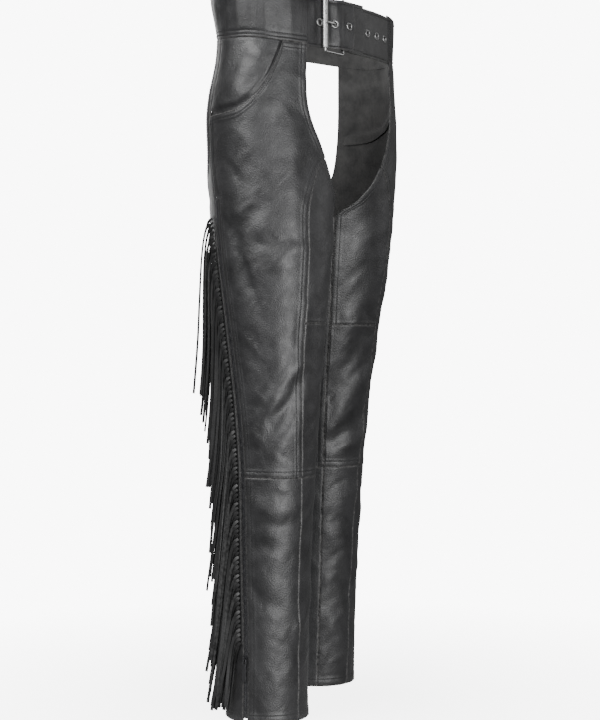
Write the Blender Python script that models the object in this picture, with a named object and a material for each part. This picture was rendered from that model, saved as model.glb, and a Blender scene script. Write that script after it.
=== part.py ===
"""Black leather chaps with fringe down the outside of each leg, filled out as worn.

Frame: +Z up, the wearer faces -Y, +X is the wearer's left. The origin is the middle of the
waistband, where the wearer holds the chaps up. Every length is in metres, every angle in degrees.
A point on a leg is given by its height and its angle round the leg's centre line:
0 is straight ahead, positive angles turn outward to the side, negative ones to the other leg.
"""
import math

import bmesh
import bpy
import numpy as np
from mathutils import Vector

# Leather and seams
WALL = 0.0018
SEAM_GAP = 0.0003
BAND_INSIDE = 0.0022
BAND_PROUD = 0.0008
STRAP_WALL = 0.0022
STRAP_SEAT = -0.0016

# Heights
BAND_TOP = 0.033
BAND_BOTTOM = -0.034
BAND_FRONT_DIP = 0.007
BAND_BACK_RISE = 0.16
BAND_RISE_BLEND = 0.02
STRAP_TOP = 0.0295
STRAP_BOTTOM = -0.0435
PANEL_LEVEL = -0.160
OPENING_SEAM_TOP = -0.2085
ZIP_TOP = -0.265
MID_SEAM = -0.450
KNEE_SEAM = -0.674
HEM = -1.027

# Widths round the body
BAND_END = 0.098
CHAIN_WIDTH = 0.0075
CHAIN_END = 0.006
SIDE_STRIP = 0.009
SMOOTH_POWER_FRONT = 2.4
SEAT_LIMIT = 0.040
MIDDLE_CLEAR = 0.0012
MIDDLE_FACING = 0.1
HIP_BLEND = (-0.130, -0.310)

# Heights of the rings, shared by every panel so that neighbours meet along the same line
UPPER_LEVELS = (
    -0.160, -0.185, -0.2085, -0.230, -0.250, -0.262, -0.265, -0.285, -0.310, -0.340, -0.370,
    -0.400, -0.425, -0.450, -0.480, -0.515, -0.550, -0.585, -0.620, -0.650, -0.674,
)
LOWER_LEVELS = (-0.674, -0.700, -0.730, -0.765, -0.800, -0.835, -0.870, -0.905, -0.950, -0.990, -1.027)
TOP_ROWS = 3
SEAT_LEVELS = (-0.219, -0.240, -0.2575, -0.2715, -0.278)

LEG = {
    "columns": ("z", "half_width", "half_depth", "right_x", "right_y", "left_x", "left_y"),
    "rows": (
        (-0.130, 0.086, 0.098, -0.087, -0.004, 0.087, 0.004),
        (-0.290, 0.088, 0.095, -0.090, -0.010, 0.090, 0.012),
        (-0.340, 0.086, 0.093, -0.092, -0.013, 0.092, 0.018),
        (-0.415, 0.080, 0.086, -0.096, -0.017, 0.096, 0.027),
        (-0.482, 0.074, 0.080, -0.100, -0.021, 0.100, 0.035),
        (-0.590, 0.067, 0.072, -0.106, -0.026, 0.106, 0.047),
        (-0.672, 0.063, 0.067, -0.110, -0.028, 0.110, 0.053),
        (-0.800, 0.060, 0.062, -0.114, -0.028, 0.114, 0.061),
        (-0.900, 0.059, 0.061, -0.117, -0.028, 0.117, 0.067),
        (-1.027, 0.060, 0.061, -0.120, -0.028, 0.120, 0.074),
    ),
}

HIP = {
    "columns": ("z", "half_width", "front", "back"),
    "rows": (
        (0.034, 0.176, 0.097, 0.110),
        (-0.034, 0.170, 0.099, 0.094),
        (-0.060, 0.172, 0.100, 0.098),
        (-0.115, 0.178, 0.101, 0.122),
        (-0.150, 0.180, 0.102, 0.128),
        (-0.200, 0.180, 0.104, 0.124),
        (-0.310, 0.180, 0.104, 0.118),
    ),
}

# Where the cut edges and seams run, as angles round the leg at a height
EDGES = {
    "columns": ("z", "opening", "front_seam", "side_seam"),
    "rows": (
        (-0.030, 7.6, -60.0, 109.0),
        (-0.068, 9.0, -60.0, 110.0),
        (-0.100, 10.0, -60.0, 113.0),
        (-0.130, 8.5, -60.0, 116.5),
        (-0.160, 2.5, -60.0, 120.5),
        (-0.185, -4.0, -60.0, 122.0),
        (-0.2085, -10.5, -8.6, 122.0),
        (-0.230, -17.0, 1.5, 120.0),
        (-0.250, -26.0, 7.0, 118.0),
        (-0.262, -33.0, 9.5, 116.5),
        (-0.265, -35.5, 10.2, 110.5),
        (-0.285, -51.7, 13.5, 109.8),
        (-0.310, -51.4, 14.2, 109.0),
        (-0.340, -51.0, 13.6, 108.0),
        (-0.400, -50.5, 13.0, 104.5),
        (-0.480, -50.0, 13.6, 100.0),
        (-0.585, -50.0, 12.5, 91.5),
        (-0.674, -50.0, 7.5, 86.5),
        (-0.765, -50.0, 4.8, 84.0),
        (-0.835, -50.0, 4.8, 81.5),
        (-0.905, -50.0, 2.4, 78.0),
        (-1.027, -50.0, 1.0, 76.5),
    ),
}
INSEAM_TURN = 359.7

# The open seat: a row of the back panel that starts at a level at the side seam ends here
SEAT = {
    "columns": ("level", "angle", "height"),
    "rows": (
        (-0.030, 128.0, -0.030),
        (-0.080, 128.0, -0.085),
        (-0.130, 128.6, -0.135),
        (-0.160, 130.0, -0.170),
        (-0.185, 132.5, -0.197),
        (-0.2085, 138.5, -0.220),
        (-0.219, 144.0, -0.230),
        (-0.230, 150.5, -0.2395),
        (-0.240, 160.0, -0.248),
        (-0.250, 172.0, -0.256),
        (-0.2575, 194.0, -0.264),
        (-0.262, 214.0, -0.2695),
        (-0.265, 233.0, -0.2733),
        (-0.2715, 258.0, -0.2776),
        (-0.278, 283.0, -0.2814),
        (-0.285, 308.0, -0.285),
    ),
}

# The curved pocket edge, as a height for an angle
POCKET = {
    "columns": ("angle", "height"),
    "rows": (
        (34.5, -0.036), (37.0, -0.048), (42.4, -0.0685), (51.2, -0.0965), (67.4, -0.1262),
        (83.0, -0.1395), (111.0, -0.1435), (125.0, -0.1440),
    ),
}
POCKET_START = 34.5
FACING_START = 0.8
FACING_DEPTH = 0.0034
FACING_MARGIN = 0.004
FACING_UNDERLAP = 0.009
FACING_BLEND = 0.012

# Large folds: a soft ridge (height above 0) or trough (below 0) along a line on one leg
FOLDS = {
    "columns": ("leg", "angle_a", "z_a", "angle_b", "z_b", "width", "height"),
    "rows": (
        ("right", 56, -0.060, 84, -0.100, 0.016, 0.0035),
        ("right", 27, -0.170, 30, -0.338, 0.014, 0.0030),
        ("right", 60, -0.285, 86, -0.314, 0.013, -0.0040),
        ("right", 60, -0.335, 36, -0.328, 0.012, -0.0035),
        ("right", 42, -0.358, 20, -0.346, 0.013, 0.0035),
        ("right", 86, -0.329, 72, -0.395, 0.014, -0.0040),
        ("right", 31, -0.380, 29, -0.510, 0.018, 0.0025),
        ("right", 23, -0.514, 46, -0.558, 0.014, 0.0040),
        ("right", 46, -0.558, 67, -0.612, 0.014, 0.0040),
        ("right", 14, -0.530, 49, -0.595, 0.013, -0.0040),
        ("right", 41, -0.637, 13, -0.590, 0.014, 0.0035),
        ("right", 68, -0.716, 19, -0.722, 0.014, 0.0040),
        ("right", 76, -0.771, 50, -0.770, 0.013, -0.0030),
        ("right", 74, -0.835, 36, -0.862, 0.014, -0.0035),
        ("right", -40, -0.310, 8, -0.421, 0.015, 0.0035),
        ("right", -30, -0.700, 2, -0.743, 0.013, 0.0030),
        ("right", -38, -0.844, 0, -0.893, 0.015, 0.0035),
        ("left", 20, -0.330, -25, -0.445, 0.015, 0.0040),
        ("left", -25, -0.445, -53, -0.508, 0.015, 0.0040),
        ("left", 45, -0.480, -2, -0.536, 0.016, 0.0040),
        ("left", -2, -0.536, -43, -0.607, 0.015, 0.0045),
        ("left", -8, -0.470, -45, -0.560, 0.012, -0.0035),
        ("left", 21, -0.618, -41, -0.655, 0.014, 0.0040),
        ("left", 12, -0.590, -38, -0.632, 0.012, -0.0035),
        ("left", 10, -0.712, -50, -0.742, 0.014, 0.0040),
        ("left", -45, -0.775, -12, -0.801, 0.014, 0.0030),
        ("left", -20, -0.858, 14, -0.892, 0.015, -0.0035),
        ("left", -48, -0.910, -5, -0.963, 0.016, 0.0035),
        ("left", 60, -0.340, 30, -0.400, 0.015, 0.0035),
        ("left", 66, -0.560, 28, -0.600, 0.015, 0.0035),
        ("left", 62, -0.730, 24, -0.760, 0.015, 0.0035),
        ("right", 150, -0.330, 215, -0.380, 0.017, 0.0035),
        ("right", 150, -0.600, 230, -0.585, 0.016, -0.0040),
        ("right", 160, -0.640, 225, -0.655, 0.016, 0.0035),
        ("right", 140, -0.800, 210, -0.850, 0.017, 0.0030),
        ("left", 155, -0.350, 220, -0.395, 0.017, 0.0035),
        ("left", 150, -0.610, 230, -0.600, 0.016, -0.0040),
        ("left", 160, -0.700, 225, -0.690, 0.016, 0.0035),
        ("left", 145, -0.820, 210, -0.870, 0.017, 0.0030),
    ),
}
FOLD_RADIUS = 0.080
ZIP_CALM = 0.016
ZIP_CALM_MIDDLE = 6.0

# Fringe
STRANDS = 96
FRINGE_TOP = -0.2915
FRINGE_BOTTOM = -0.916
FRINGE_INSET = 0.0010
FRINGE_STRIP = 0.0058
FRINGE_STRIP_WALL = 0.0014
STRAND_LENGTH = 0.265
STRAND_WIDTH = 0.0034
STRAND_THICKNESS = 0.0013
STRAND_LAYERS = 4
STRAND_LAYER_STEP = 0.0022
STRAND_CLEAR = 0.0009
STRAND_THROW = 0.0050
STRAND_SLOPE = 0.185
STRAND_LIFT = 0.03
STRAND_KNEE = 0.008
STRAND_BEND = 0.36
STRAND_SWAY = 0.0003
STRAND_UNEVEN = 0.07
STRAND_END_UNEVEN = 0.012
ROOT_HALF_WIDTH = 0.0013
ROOT_HALF_HEIGHT = 0.0016
STRAND_FLOOR = -1.014

# Zip slider and pull tab
SLIDER_Z = -0.936
CHAIN_PROUD = 0.0009
CHAIN_INSIDE = 0.0014
SLIDER_WIDTH = 0.0070
SLIDER_HEIGHT = 0.0100
SLIDER_LIFT = 0.0012
SLIDER_WALL = 0.0022
ARCH_WIDTH = 0.0026
ARCH_HEIGHT = 0.0080
ARCH_RISE = 0.0036
ARCH_SUNK = 0.0004
TUNNEL_HEIGHT = 0.0050
TUNNEL_RISE = 0.0022
PULL_WALL = 0.0012
PULL_WIDTH = 0.0070
PULL_LENGTH = 0.0320
PULL_EYE_WIDTH = 0.0044
PULL_EYE_END = 0.0054
PULL_PIVOT_RISE = 0.0010
PULL_NECK = 0.0026
PULL_SHOULDER = 0.0010
PULL_NECK_DROP = 0.0052

# Belt buckle and eyelets
ROLLER_X = -0.070
ROLLER_OFFSET = 0.0061
ROLLER_RADIUS = 0.0040
ROLLER_BORE = 0.0022
HINGE_X = -0.030
HINGE_OFFSET = 0.0027
WIRE_RADIUS = 0.0018
FRAME_BOTTOM = -0.0490
FRAME_TOP = 0.0350
FRAME_CORNER = 0.003
BUCKLE_MID = -0.007
BUCKLE_LEVEL = -0.005
WRAP_END = 0.012
WRAP_WIDER = 0.001
STRAP_TIP = -0.010
STRAP_LIFT = 0.0073
PRONG_WALL = 0.0022
PRONG_HALF_HEIGHT = 0.0014
EYELET_RADIUS = 0.0062
EYELET_BORE = 0.0032
EYELET_WALL = 0.0008
EYELET_LIFT = 0.0004
RIGHT_EYELETS = (-0.024, -0.050, -0.076)
LEFT_EYELETS = (0.032, 0.058, 0.084)

LEATHER = (0.018, 0.018, 0.020)
FRINGE_LEATHER = (0.012, 0.012, 0.013)
STEEL = (0.62, 0.62, 0.63)
ZIP_METAL = (0.16, 0.16, 0.17)


# Tables and small helpers

def column(table, name):
    return [row[table["columns"].index(name)] for row in table["rows"]]


def read(table, name, value):
    """A column of a table at a value of its first column, in straight lines between rows."""
    keys = column(table, table["columns"][0])
    values = column(table, name)
    order = np.argsort(keys)
    return float(np.interp(value, np.array(keys)[order], np.array(values)[order]))


def smooth(start, end, value):
    share = min(max((value - start) / (end - start), 0.0), 1.0)
    return share * share * (3.0 - 2.0 * share)


def mix(a, b, share):
    return a * (1.0 - share) + b * share


def sign(side):
    return -1.0 if side == "right" else 1.0


def scatter(index):
    """An even-looking number from 0 to 1 for a strand, the same in every run."""
    value = math.sin(index * 12.9898) * 43758.5453
    return value - math.floor(value)


# The shape of the body of the garment

def outward(side, angle):
    turn = math.radians(angle)
    return Vector((sign(side) * math.sin(turn), -math.cos(turn), 0.0))


def onward(side, angle):
    turn = math.radians(angle)
    return Vector((sign(side) * math.cos(turn), math.sin(turn), 0.0))


def leg_centre(side, z):
    return Vector((read(LEG, side + "_x", z), read(LEG, side + "_y", z), z))


def oval_distance(start, direction, z):
    """How far a level line from a leg's centre goes before it meets the hip oval."""
    half_width = read(HIP, "half_width", z)
    front = read(HIP, "front", z)
    back = read(HIP, "back", z)
    near, far = 0.0, 0.5
    for _ in range(40):
        middle = (near + far) / 2.0
        x = start.x + direction.x * middle
        y = start.y + direction.y * middle
        if y < 0.0:
            reach = abs(x / half_width) ** SMOOTH_POWER_FRONT + abs(y / front) ** SMOOTH_POWER_FRONT
        else:
            reach = (x / half_width) ** 2 + (y / back) ** 2
        if reach < 1.0:
            near = middle
        else:
            far = middle
    return near


def fold_height(side, angle, z):
    """The sum of the folds at a place, calmed beside the zip so that it runs flat."""
    place = Vector((math.radians(angle) * FOLD_RADIUS, z))
    total = 0.0
    for leg, angle_a, z_a, angle_b, z_b, width, height in FOLDS["rows"]:
        if leg != side:
            continue
        start = Vector((math.radians(angle_a) * FOLD_RADIUS, z_a))
        along = Vector((math.radians(angle_b) * FOLD_RADIUS, z_b)) - start
        share = min(max((place - start).dot(along) / along.length_squared, 0.0), 1.0)
        away = (place - start - along * share).length
        total += height * math.exp(-(away / width) ** 2)
    middle = read(EDGES, "side_seam", z) + ZIP_CALM_MIDDLE
    from_zip = math.radians(abs(angle - middle)) * FOLD_RADIUS
    return total * smooth(ZIP_CALM / 2, ZIP_CALM * 1.5, from_zip)


def body_point(side, angle, z, offset=0.0):
    """A point on the outside of the leather, or offset from it along the level radius."""
    centre = leg_centre(side, z)
    direction = outward(side, angle)
    across = direction.x / read(LEG, "half_width", z)
    ahead = direction.y / read(LEG, "half_depth", z)
    leg = 1.0 / math.hypot(across, ahead)
    share = smooth(HIP_BLEND[0], HIP_BLEND[1], z)
    hip = leg
    if share < 1.0:
        hip = min(oval_distance(centre, direction, z), leg + SEAT_LIMIT)
    radius = mix(hip, leg, share) + fold_height(side, angle, z)
    toward_middle = -direction.x * sign(side)
    if toward_middle > MIDDLE_FACING:
        radius = min(radius, (abs(centre.x) - MIDDLE_CLEAR) / toward_middle)
    return centre + direction * (radius + offset)


def band_rise(point):
    """How much higher the waistband stands towards the back."""
    return BAND_BACK_RISE * (math.hypot(point.y, BAND_RISE_BLEND) + point.y) / 2.0


def band_bottom(point):
    """The waistband's lower edge: it dips towards the buckle and rises towards the back."""
    return BAND_BOTTOM - BAND_FRONT_DIP * smooth(-0.02, -0.095, point.y) + band_rise(point)


def band_top(point):
    return BAND_TOP + band_rise(point)


def gap_angle(z, width):
    return math.degrees(width / read(LEG, "half_width", z))


def front_edge(z):
    """The outer front's first edge: the opening above, the front seam below."""
    return max(read(EDGES, "opening", z), read(EDGES, "front_seam", z))


def back_start(z):
    """The front edge of the back panel: the side seam, or behind the zip below its top."""
    seam = read(EDGES, "side_seam", z)
    if z > ZIP_TOP + 0.0001:
        return seam
    return seam + gap_angle(z, CHAIN_WIDTH + SEAM_GAP)


def strip_end(z):
    return back_start(z) + gap_angle(z, SIDE_STRIP)


def back_end(z):
    """Where a row of the back panel ends: on the seat's edge above, at the inseam below."""
    if z > SEAT["rows"][-1][0]:
        return read(SEAT, "angle", z), read(SEAT, "height", z)
    return read(EDGES, "opening", z) + INSEAM_TURN, z


def level_below(z):
    """The ring heights that lie just above and just below a height."""
    levels = UPPER_LEVELS + LOWER_LEVELS[1:]
    for upper, lower in zip(levels, levels[1:]):
        if z >= lower:
            return upper, lower
    return levels[-2], levels[-1]


def line_point(side, angle_at, z, offset=0.0):
    """A point on a line down the leg, straight between rings as the panels' faces are."""
    upper, lower = level_below(z)
    share = (upper - z) / (upper - lower)
    above = body_point(side, angle_at(upper), upper, offset)
    below = body_point(side, angle_at(lower), lower, offset)
    return above.lerp(below, share)


# Meshes and objects

def material(name, colour, roughness, metallic=0.0):
    made = bpy.data.materials.new(name)
    made.use_nodes = True
    shader = made.node_tree.nodes["Principled BSDF"]
    shader.inputs["Base Color"].default_value = (*colour, 1.0)
    shader.inputs["Roughness"].default_value = roughness
    shader.inputs["Metallic"].default_value = metallic
    made.diffuse_color = (*colour, 1.0)
    return made


def add_object(name, points, faces, colour, roughness, metallic=0.0, sharp=40.0):
    mesh = bpy.data.meshes.new(name)
    mesh.from_pydata([tuple(point) for point in points], [], faces)
    work = bmesh.new()
    work.from_mesh(mesh)
    bmesh.ops.recalc_face_normals(work, faces=work.faces)
    work.to_mesh(mesh)
    work.free()
    mesh.shade_smooth()
    mesh.set_sharp_from_angle(angle=math.radians(sharp))
    mesh.materials.append(material(name, colour, roughness, metallic))
    made = bpy.data.objects.new(name, mesh)
    bpy.context.scene.collection.objects.link(made)
    return made


def leather_object(name, points, faces):
    return add_object(name, points, faces, LEATHER, 0.45)


def wall_faces(rows, columns):
    """Faces of a closed wall: two grids of points, the outer first, joined round the rim.

    Both grids are split along the same diagonals, so a bent wall never crosses itself.
    """
    inner = rows * columns
    faces = []
    for row in range(rows - 1):
        for place in range(columns - 1):
            a = row * columns + place
            b, c, d = a + 1, a + columns + 1, a + columns
            for one, two, three in ((a, b, c), (a, c, d)):
                faces.append((one, two, three))
                faces.append((inner + three, inner + two, inner + one))
    rim = [place for place in range(columns)]
    rim += [row * columns + columns - 1 for row in range(1, rows)]
    rim += [(rows - 1) * columns + place for place in range(columns - 2, -1, -1)]
    rim += [row * columns for row in range(rows - 2, 0, -1)]
    for here, there in zip(rim, rim[1:] + rim[:1]):
        faces.append((there, here, inner + here, inner + there))
    return faces


def wall_object(name, outer, inner):
    """A wall through a grid of outer points and the matching grid of inner points."""
    rows, columns = len(outer), len(outer[0])
    points = [point for row in outer for point in row] + [point for row in inner for point in row]
    return leather_object(name, points, wall_faces(rows, columns))


def side_name(side, piece):
    return side + "_" + piece


def cut(target, cutters):
    """Takes closed cutter solids out of an object; the cutters stay as hidden guides."""
    for number, cutter in enumerate(cutters):
        cutter.hide_render = True
        cutter.display_type = "WIRE"
        step = target.modifiers.new("cut_%d" % number, "BOOLEAN")
        step.operation = "DIFFERENCE"
        step.solver = "EXACT"
        step.object = cutter


def cylinder(name, centre, axis, radius, length, sides=14):
    """A closed cylinder about an axis."""
    axis = axis.normalized()
    across = axis.orthogonal().normalized()
    up = axis.cross(across)
    points = []
    for end in (-0.5, 0.5):
        for step in range(sides):
            turn = 2.0 * math.pi * step / sides
            spoke = across * math.cos(turn) + up * math.sin(turn)
            points.append(centre + axis * (length * end) + spoke * radius)
    faces = [tuple(range(sides)), tuple(range(sides, 2 * sides))]
    for step in range(sides):
        after = (step + 1) % sides
        faces.append((step, after, sides + after, sides + step))
    return add_object(name, points, faces, STEEL, 0.3, 1.0)


def box(name, centre, half, axes):
    """A closed box with its half sizes along three directions."""
    points = []
    for a in (-1, 1):
        for b in (-1, 1):
            for c in (-1, 1):
                points.append(centre + axes[0] * (a * half[0]) + axes[1] * (b * half[1])
                              + axes[2] * (c * half[2]))
    faces = [(0, 1, 3, 2), (4, 6, 7, 5), (0, 4, 5, 1), (2, 3, 7, 6), (0, 2, 6, 4), (1, 5, 7, 3)]
    return add_object(name, points, faces, STEEL, 0.3, 1.0)


def ring(name, centre, axis, outer_radius, bore, length, sides, colour, roughness):
    """A plain round tube about an axis."""
    axis = axis.normalized()
    across = axis.orthogonal().normalized()
    up = axis.cross(across)
    points = []
    for radius in (outer_radius, bore):
        for end in (-0.5, 0.5):
            for step in range(sides):
                turn = 2.0 * math.pi * step / sides
                spoke = across * math.cos(turn) + up * math.sin(turn)
                points.append(centre + axis * (length * end) + spoke * radius)
    faces = []
    for step in range(sides):
        after = (step + 1) % sides
        out_low, out_high, in_low, in_high = 0, sides, 2 * sides, 3 * sides
        faces.append((out_low + step, out_low + after, out_high + after, out_high + step))
        faces.append((in_low + after, in_low + step, in_high + step, in_high + after))
        faces.append((out_low + after, out_low + step, in_low + step, in_low + after))
        faces.append((out_high + step, out_high + after, in_high + after, in_high + step))
    return add_object(name, points, faces, colour, roughness, 1.0)


# Leg panels

def panel(name, side, angle_from, angle_to, shares, levels, top_at=None, offset_at=None):
    """A leather panel between two lines down the leg.

    shares are the columns' places from the first line to the second. Where the panel has a
    top edge of its own, its first rows are spread from that edge down to the first ring.
    """
    half_gap = SEAM_GAP / 2.0

    def angle(share, z):
        start = angle_from(z) + gap_angle(z, half_gap)
        end = angle_to(z) - gap_angle(z, half_gap)
        return mix(start, end, share)

    outer, inner = [], []
    for row in range(-TOP_ROWS if top_at else 0, len(levels)):
        outer_row, inner_row = [], []
        for share in shares:
            z = levels[max(row, 0)]
            if row < 0:
                top = top_at(lambda height: angle(share, height))
                z = mix(levels[0], top, -row / TOP_ROWS)
            if row == 0 and not top_at:
                z -= half_gap
            if row == len(levels) - 1 and z > HEM:
                z += half_gap
            place = angle(share, z)
            shift = offset_at(place, z) if offset_at else 0.0
            outer_row.append(body_point(side, place, z, shift))
            inner_row.append(body_point(side, place, z, shift - WALL))
        outer.append(outer_row)
        inner.append(inner_row)
    return wall_object(side_name(side, name), outer, inner)


def under_band(side):
    """The top edge of a panel that is sewn under the waistband."""
    def top(angle_at):
        return band_bottom(body_point(side, angle_at(BAND_BOTTOM), BAND_BOTTOM)) - SEAM_GAP
    return top


def under_pocket(side):
    """The top edge of the outer front: the waistband, then the curved pocket edge."""
    plain = under_band(side)

    def top(angle_at):
        if angle_at(BAND_BOTTOM) <= POCKET_START:
            return plain(angle_at)
        low, high = PANEL_LEVEL, BAND_BOTTOM
        for _ in range(30):
            middle = (low + high) / 2.0
            if read(POCKET, "height", angle_at(middle)) > middle:
                low = middle
            else:
                high = middle
        return min(low, plain(angle_at))
    return top


def even(count):
    return [place / count for place in range(count + 1)]


def pocket_facing(side):
    """The piece behind the curved pocket edge, set in under it and level above."""
    columns = 9
    top_at = under_band(side)
    seam_top = read(EDGES, "side_seam", BAND_BOTTOM)
    outer, inner = [], []
    for row in range(5):
        outer_row, inner_row = [], []
        for place in range(columns + 1):
            share = place / columns
            first = mix(POCKET_START + FACING_START, seam_top, share)
            top = top_at(lambda height: first)
            edge = min(read(POCKET, "height", first) + FACING_MARGIN, top - FACING_MARGIN)
            low = read(POCKET, "height", first) - FACING_UNDERLAP
            z = (top, mix(top, edge, 0.35), mix(top, edge, 0.7), edge, low)[row]
            set_in = (0.0, 0.0, FACING_DEPTH / 4.0, FACING_DEPTH, FACING_DEPTH)[row]
            if top - edge < FACING_BLEND:
                set_in = FACING_DEPTH
            end = read(EDGES, "side_seam", z) - gap_angle(z, SEAM_GAP / 2.0)
            angle = mix(POCKET_START + FACING_START, end, share)
            outer_row.append(body_point(side, angle, z, -set_in))
            inner_row.append(body_point(side, angle, z, -set_in - WALL))
        outer.append(outer_row)
        inner.append(inner_row)
    return wall_object(side_name(side, "pocket_facing"), outer, inner)


def leg_panels(side):
    def opening(z):
        return read(EDGES, "opening", z)

    def front_seam(z):
        return read(EDGES, "front_seam", z)

    def side_seam(z):
        return read(EDGES, "side_seam", z)

    def levels(first, last):
        every = UPPER_LEVELS + LOWER_LEVELS[1:]
        return [z for z in every if last - 0.0001 <= z <= first + 0.0001]

    panel("outer_front_upper", side, front_edge, side_seam, even(7), UPPER_LEVELS, under_pocket(side))
    panel("outer_front_lower", side, front_seam, side_seam, even(6), LOWER_LEVELS)
    inner_levels = levels(OPENING_SEAM_TOP, MID_SEAM)
    panel("inner_front_upper", side, opening, front_seam, even(4), inner_levels)
    panel("inner_front_middle", side, opening, front_seam, even(4), levels(MID_SEAM, KNEE_SEAM))
    panel("inner_front_lower", side, opening, front_seam, even(4), LOWER_LEVELS)

    back_panel("back_upper", side, under_band(side))
    back_panel("back_lower", side, None)


def back_rows(top_at):
    """The heights at the side seam where the rows of a back panel start."""
    if top_at is None:
        return list(LOWER_LEVELS)
    top = top_at(lambda height: back_start(BAND_BOTTOM))
    rows = [mix(PANEL_LEVEL, top, place / TOP_ROWS) for place in range(TOP_ROWS, 0, -1)]
    return rows + sorted(UPPER_LEVELS + SEAT_LEVELS, reverse=True)


def back_panel(name, side, top_at):
    """A back panel whose first column is the straight strip that carries the fringe.

    Its rows are level below the seat and fan out to the seat's edge above.
    """
    half_gap = SEAM_GAP / 2.0
    columns = 13
    outer, inner = [], []
    levels = back_rows(top_at)
    for row, level in enumerate(levels):
        z = level
        if row == 0 and top_at is None:
            z -= half_gap
        if row == len(levels) - 1 and level > HEM:
            z += half_gap
        end_angle, end_z = back_end(z)
        if top_at and level > PANEL_LEVEL:
            share = (level - PANEL_LEVEL) / (levels[0] - PANEL_LEVEL)
            end_z = mix(back_end(PANEL_LEVEL)[1], top_at(lambda height: end_angle), share)
        start = back_start(z) + gap_angle(z, half_gap)
        end_angle -= gap_angle(end_z, half_gap)
        outer_row, inner_row = [], []
        for place in range(columns + 1):
            share = max(place - 1, 0) / (columns - 1)
            angle = mix(strip_end(z), end_angle, share) if place else start
            height = mix(z, end_z, share)
            if row == 0 and top_at:
                height = top_at(lambda level_height: angle)
            outer_row.append(body_point(side, angle, height))
            inner_row.append(body_point(side, angle, height, -WALL))
        if level in SEAT_LEVELS:
            def edge(height):
                return back_start(height) + gap_angle(height, half_gap)
            outer_row[0] = line_point(side, edge, level)
            inner_row[0] = line_point(side, edge, level, -WALL)
        outer.append(outer_row)
        inner.append(inner_row)
    return wall_object(side_name(side, name), outer, inner)


# Zip

def zip_lines(z):
    """The angles of the zip chain's two edges."""
    start = read(EDGES, "side_seam", z) + gap_angle(z, SEAM_GAP)
    end = back_start(z) - gap_angle(z, SEAM_GAP / 2.0)
    return start, end


def zip_chain(side):
    """Tape and teeth as one strip that lies between the front and back panels' edges."""
    levels = [z for z in UPPER_LEVELS + LOWER_LEVELS[1:] if z <= ZIP_TOP]
    levels[0] -= SEAM_GAP
    levels[-1] += CHAIN_END
    outer, inner = [], []
    for z in levels:
        start, end = zip_lines(z)
        middle = (start + end) / 2.0
        outer.append([
            body_point(side, start, z, 0.0),
            body_point(side, middle, z, CHAIN_PROUD),
            body_point(side, end, z, 0.0),
        ])
        inner.append([body_point(side, angle, z, -CHAIN_INSIDE) for angle in (start, middle, end)])
    return wall_object(side_name(side, "zip_chain"), outer, inner)


def zip_frame(side):
    """Where the slider sits: its middle on the chain and the directions out and across."""
    def middle(z):
        return sum(zip_lines(z)) / 2.0
    return line_point(side, middle, SLIDER_Z), outward(side, middle(SLIDER_Z)), onward(side, middle(SLIDER_Z))


def zip_slider(side):
    seat, out, across = zip_frame(side)
    up = Vector((0.0, 0.0, 1.0))
    axes = (across, out, up)
    plate_mid = seat + out * (SLIDER_LIFT + SLIDER_WALL / 2.0)
    plate = box(side_name(side, "zip_slider"), plate_mid,
                (SLIDER_WIDTH / 2.0, SLIDER_WALL / 2.0, SLIDER_HEIGHT / 2.0), axes)
    top = seat + out * (SLIDER_LIFT + SLIDER_WALL)
    arch = box(side + "_arch_guide", top + out * ((ARCH_RISE - ARCH_SUNK) / 2.0),
               (ARCH_WIDTH / 2.0, (ARCH_RISE + ARCH_SUNK) / 2.0, ARCH_HEIGHT / 2.0), axes)
    arch.hide_render = True
    arch.display_type = "WIRE"
    join = plate.modifiers.new("arch", "BOOLEAN")
    join.operation = "UNION"
    join.solver = "EXACT"
    join.object = arch
    tunnel = box(side + "_tunnel_guide", top + out * (TUNNEL_RISE / 2.0),
                 (ARCH_WIDTH, TUNNEL_RISE / 2.0, TUNNEL_HEIGHT / 2.0), axes)
    cut(plate, [tunnel])
    return plate


def pull_outline():
    """The tab's outline as across and up from the pivot: broad at the eye, necked, round below."""
    half_bar = PULL_WALL / 2.0
    half_width = PULL_WIDTH / 2.0
    shoulder = -PULL_EYE_END - PULL_SHOULDER
    neck = -PULL_EYE_END - PULL_NECK_DROP
    outline = [(-half_width, half_bar), (half_width, half_bar), (half_width, shoulder), (PULL_NECK, neck)]
    round_steps = 5
    for step in range(round_steps + 1):
        turn = math.pi * step / round_steps
        outline.append((half_width * math.cos(turn),
                        half_width - PULL_LENGTH - half_width * math.sin(turn)))
    return outline + [(-PULL_NECK, neck), (-half_width, shoulder)]


def zip_pull(side):
    """The pull tab: a flat tongue with an eye, hung on a bar that runs under the slider's arch."""
    seat, out, across = zip_frame(side)
    pivot = seat + out * (SLIDER_LIFT + SLIDER_WALL + PULL_PIVOT_RISE)
    half_bar = PULL_WALL / 2.0
    up = Vector((0.0, 0.0, 1.0))
    outline = pull_outline()
    points, faces = [], []
    for face_side in (-half_bar, half_bar):
        points += [across * x + up * z + out * face_side for x, z in outline]
    count = len(outline)
    faces.append(tuple(range(count)))
    faces.append(tuple(range(count, 2 * count)))
    for here in range(count):
        after = (here + 1) % count
        faces.append((here, after, count + after, count + here))
    tab = add_object(side_name(side, "zip_pull"), points, faces, ZIP_METAL, 0.3, 1.0)
    tab.location = pivot
    eye_mid = up * (-(half_bar + PULL_EYE_END) / 2.0)
    eye_half = (PULL_EYE_WIDTH / 2.0, PULL_WALL, (PULL_EYE_END - half_bar) / 2.0)
    guide = box(side + "_eye_guide", eye_mid, eye_half, (across, out, up))
    guide.location = pivot
    cut(tab, [guide])
    return tab


# Fringe

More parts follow.
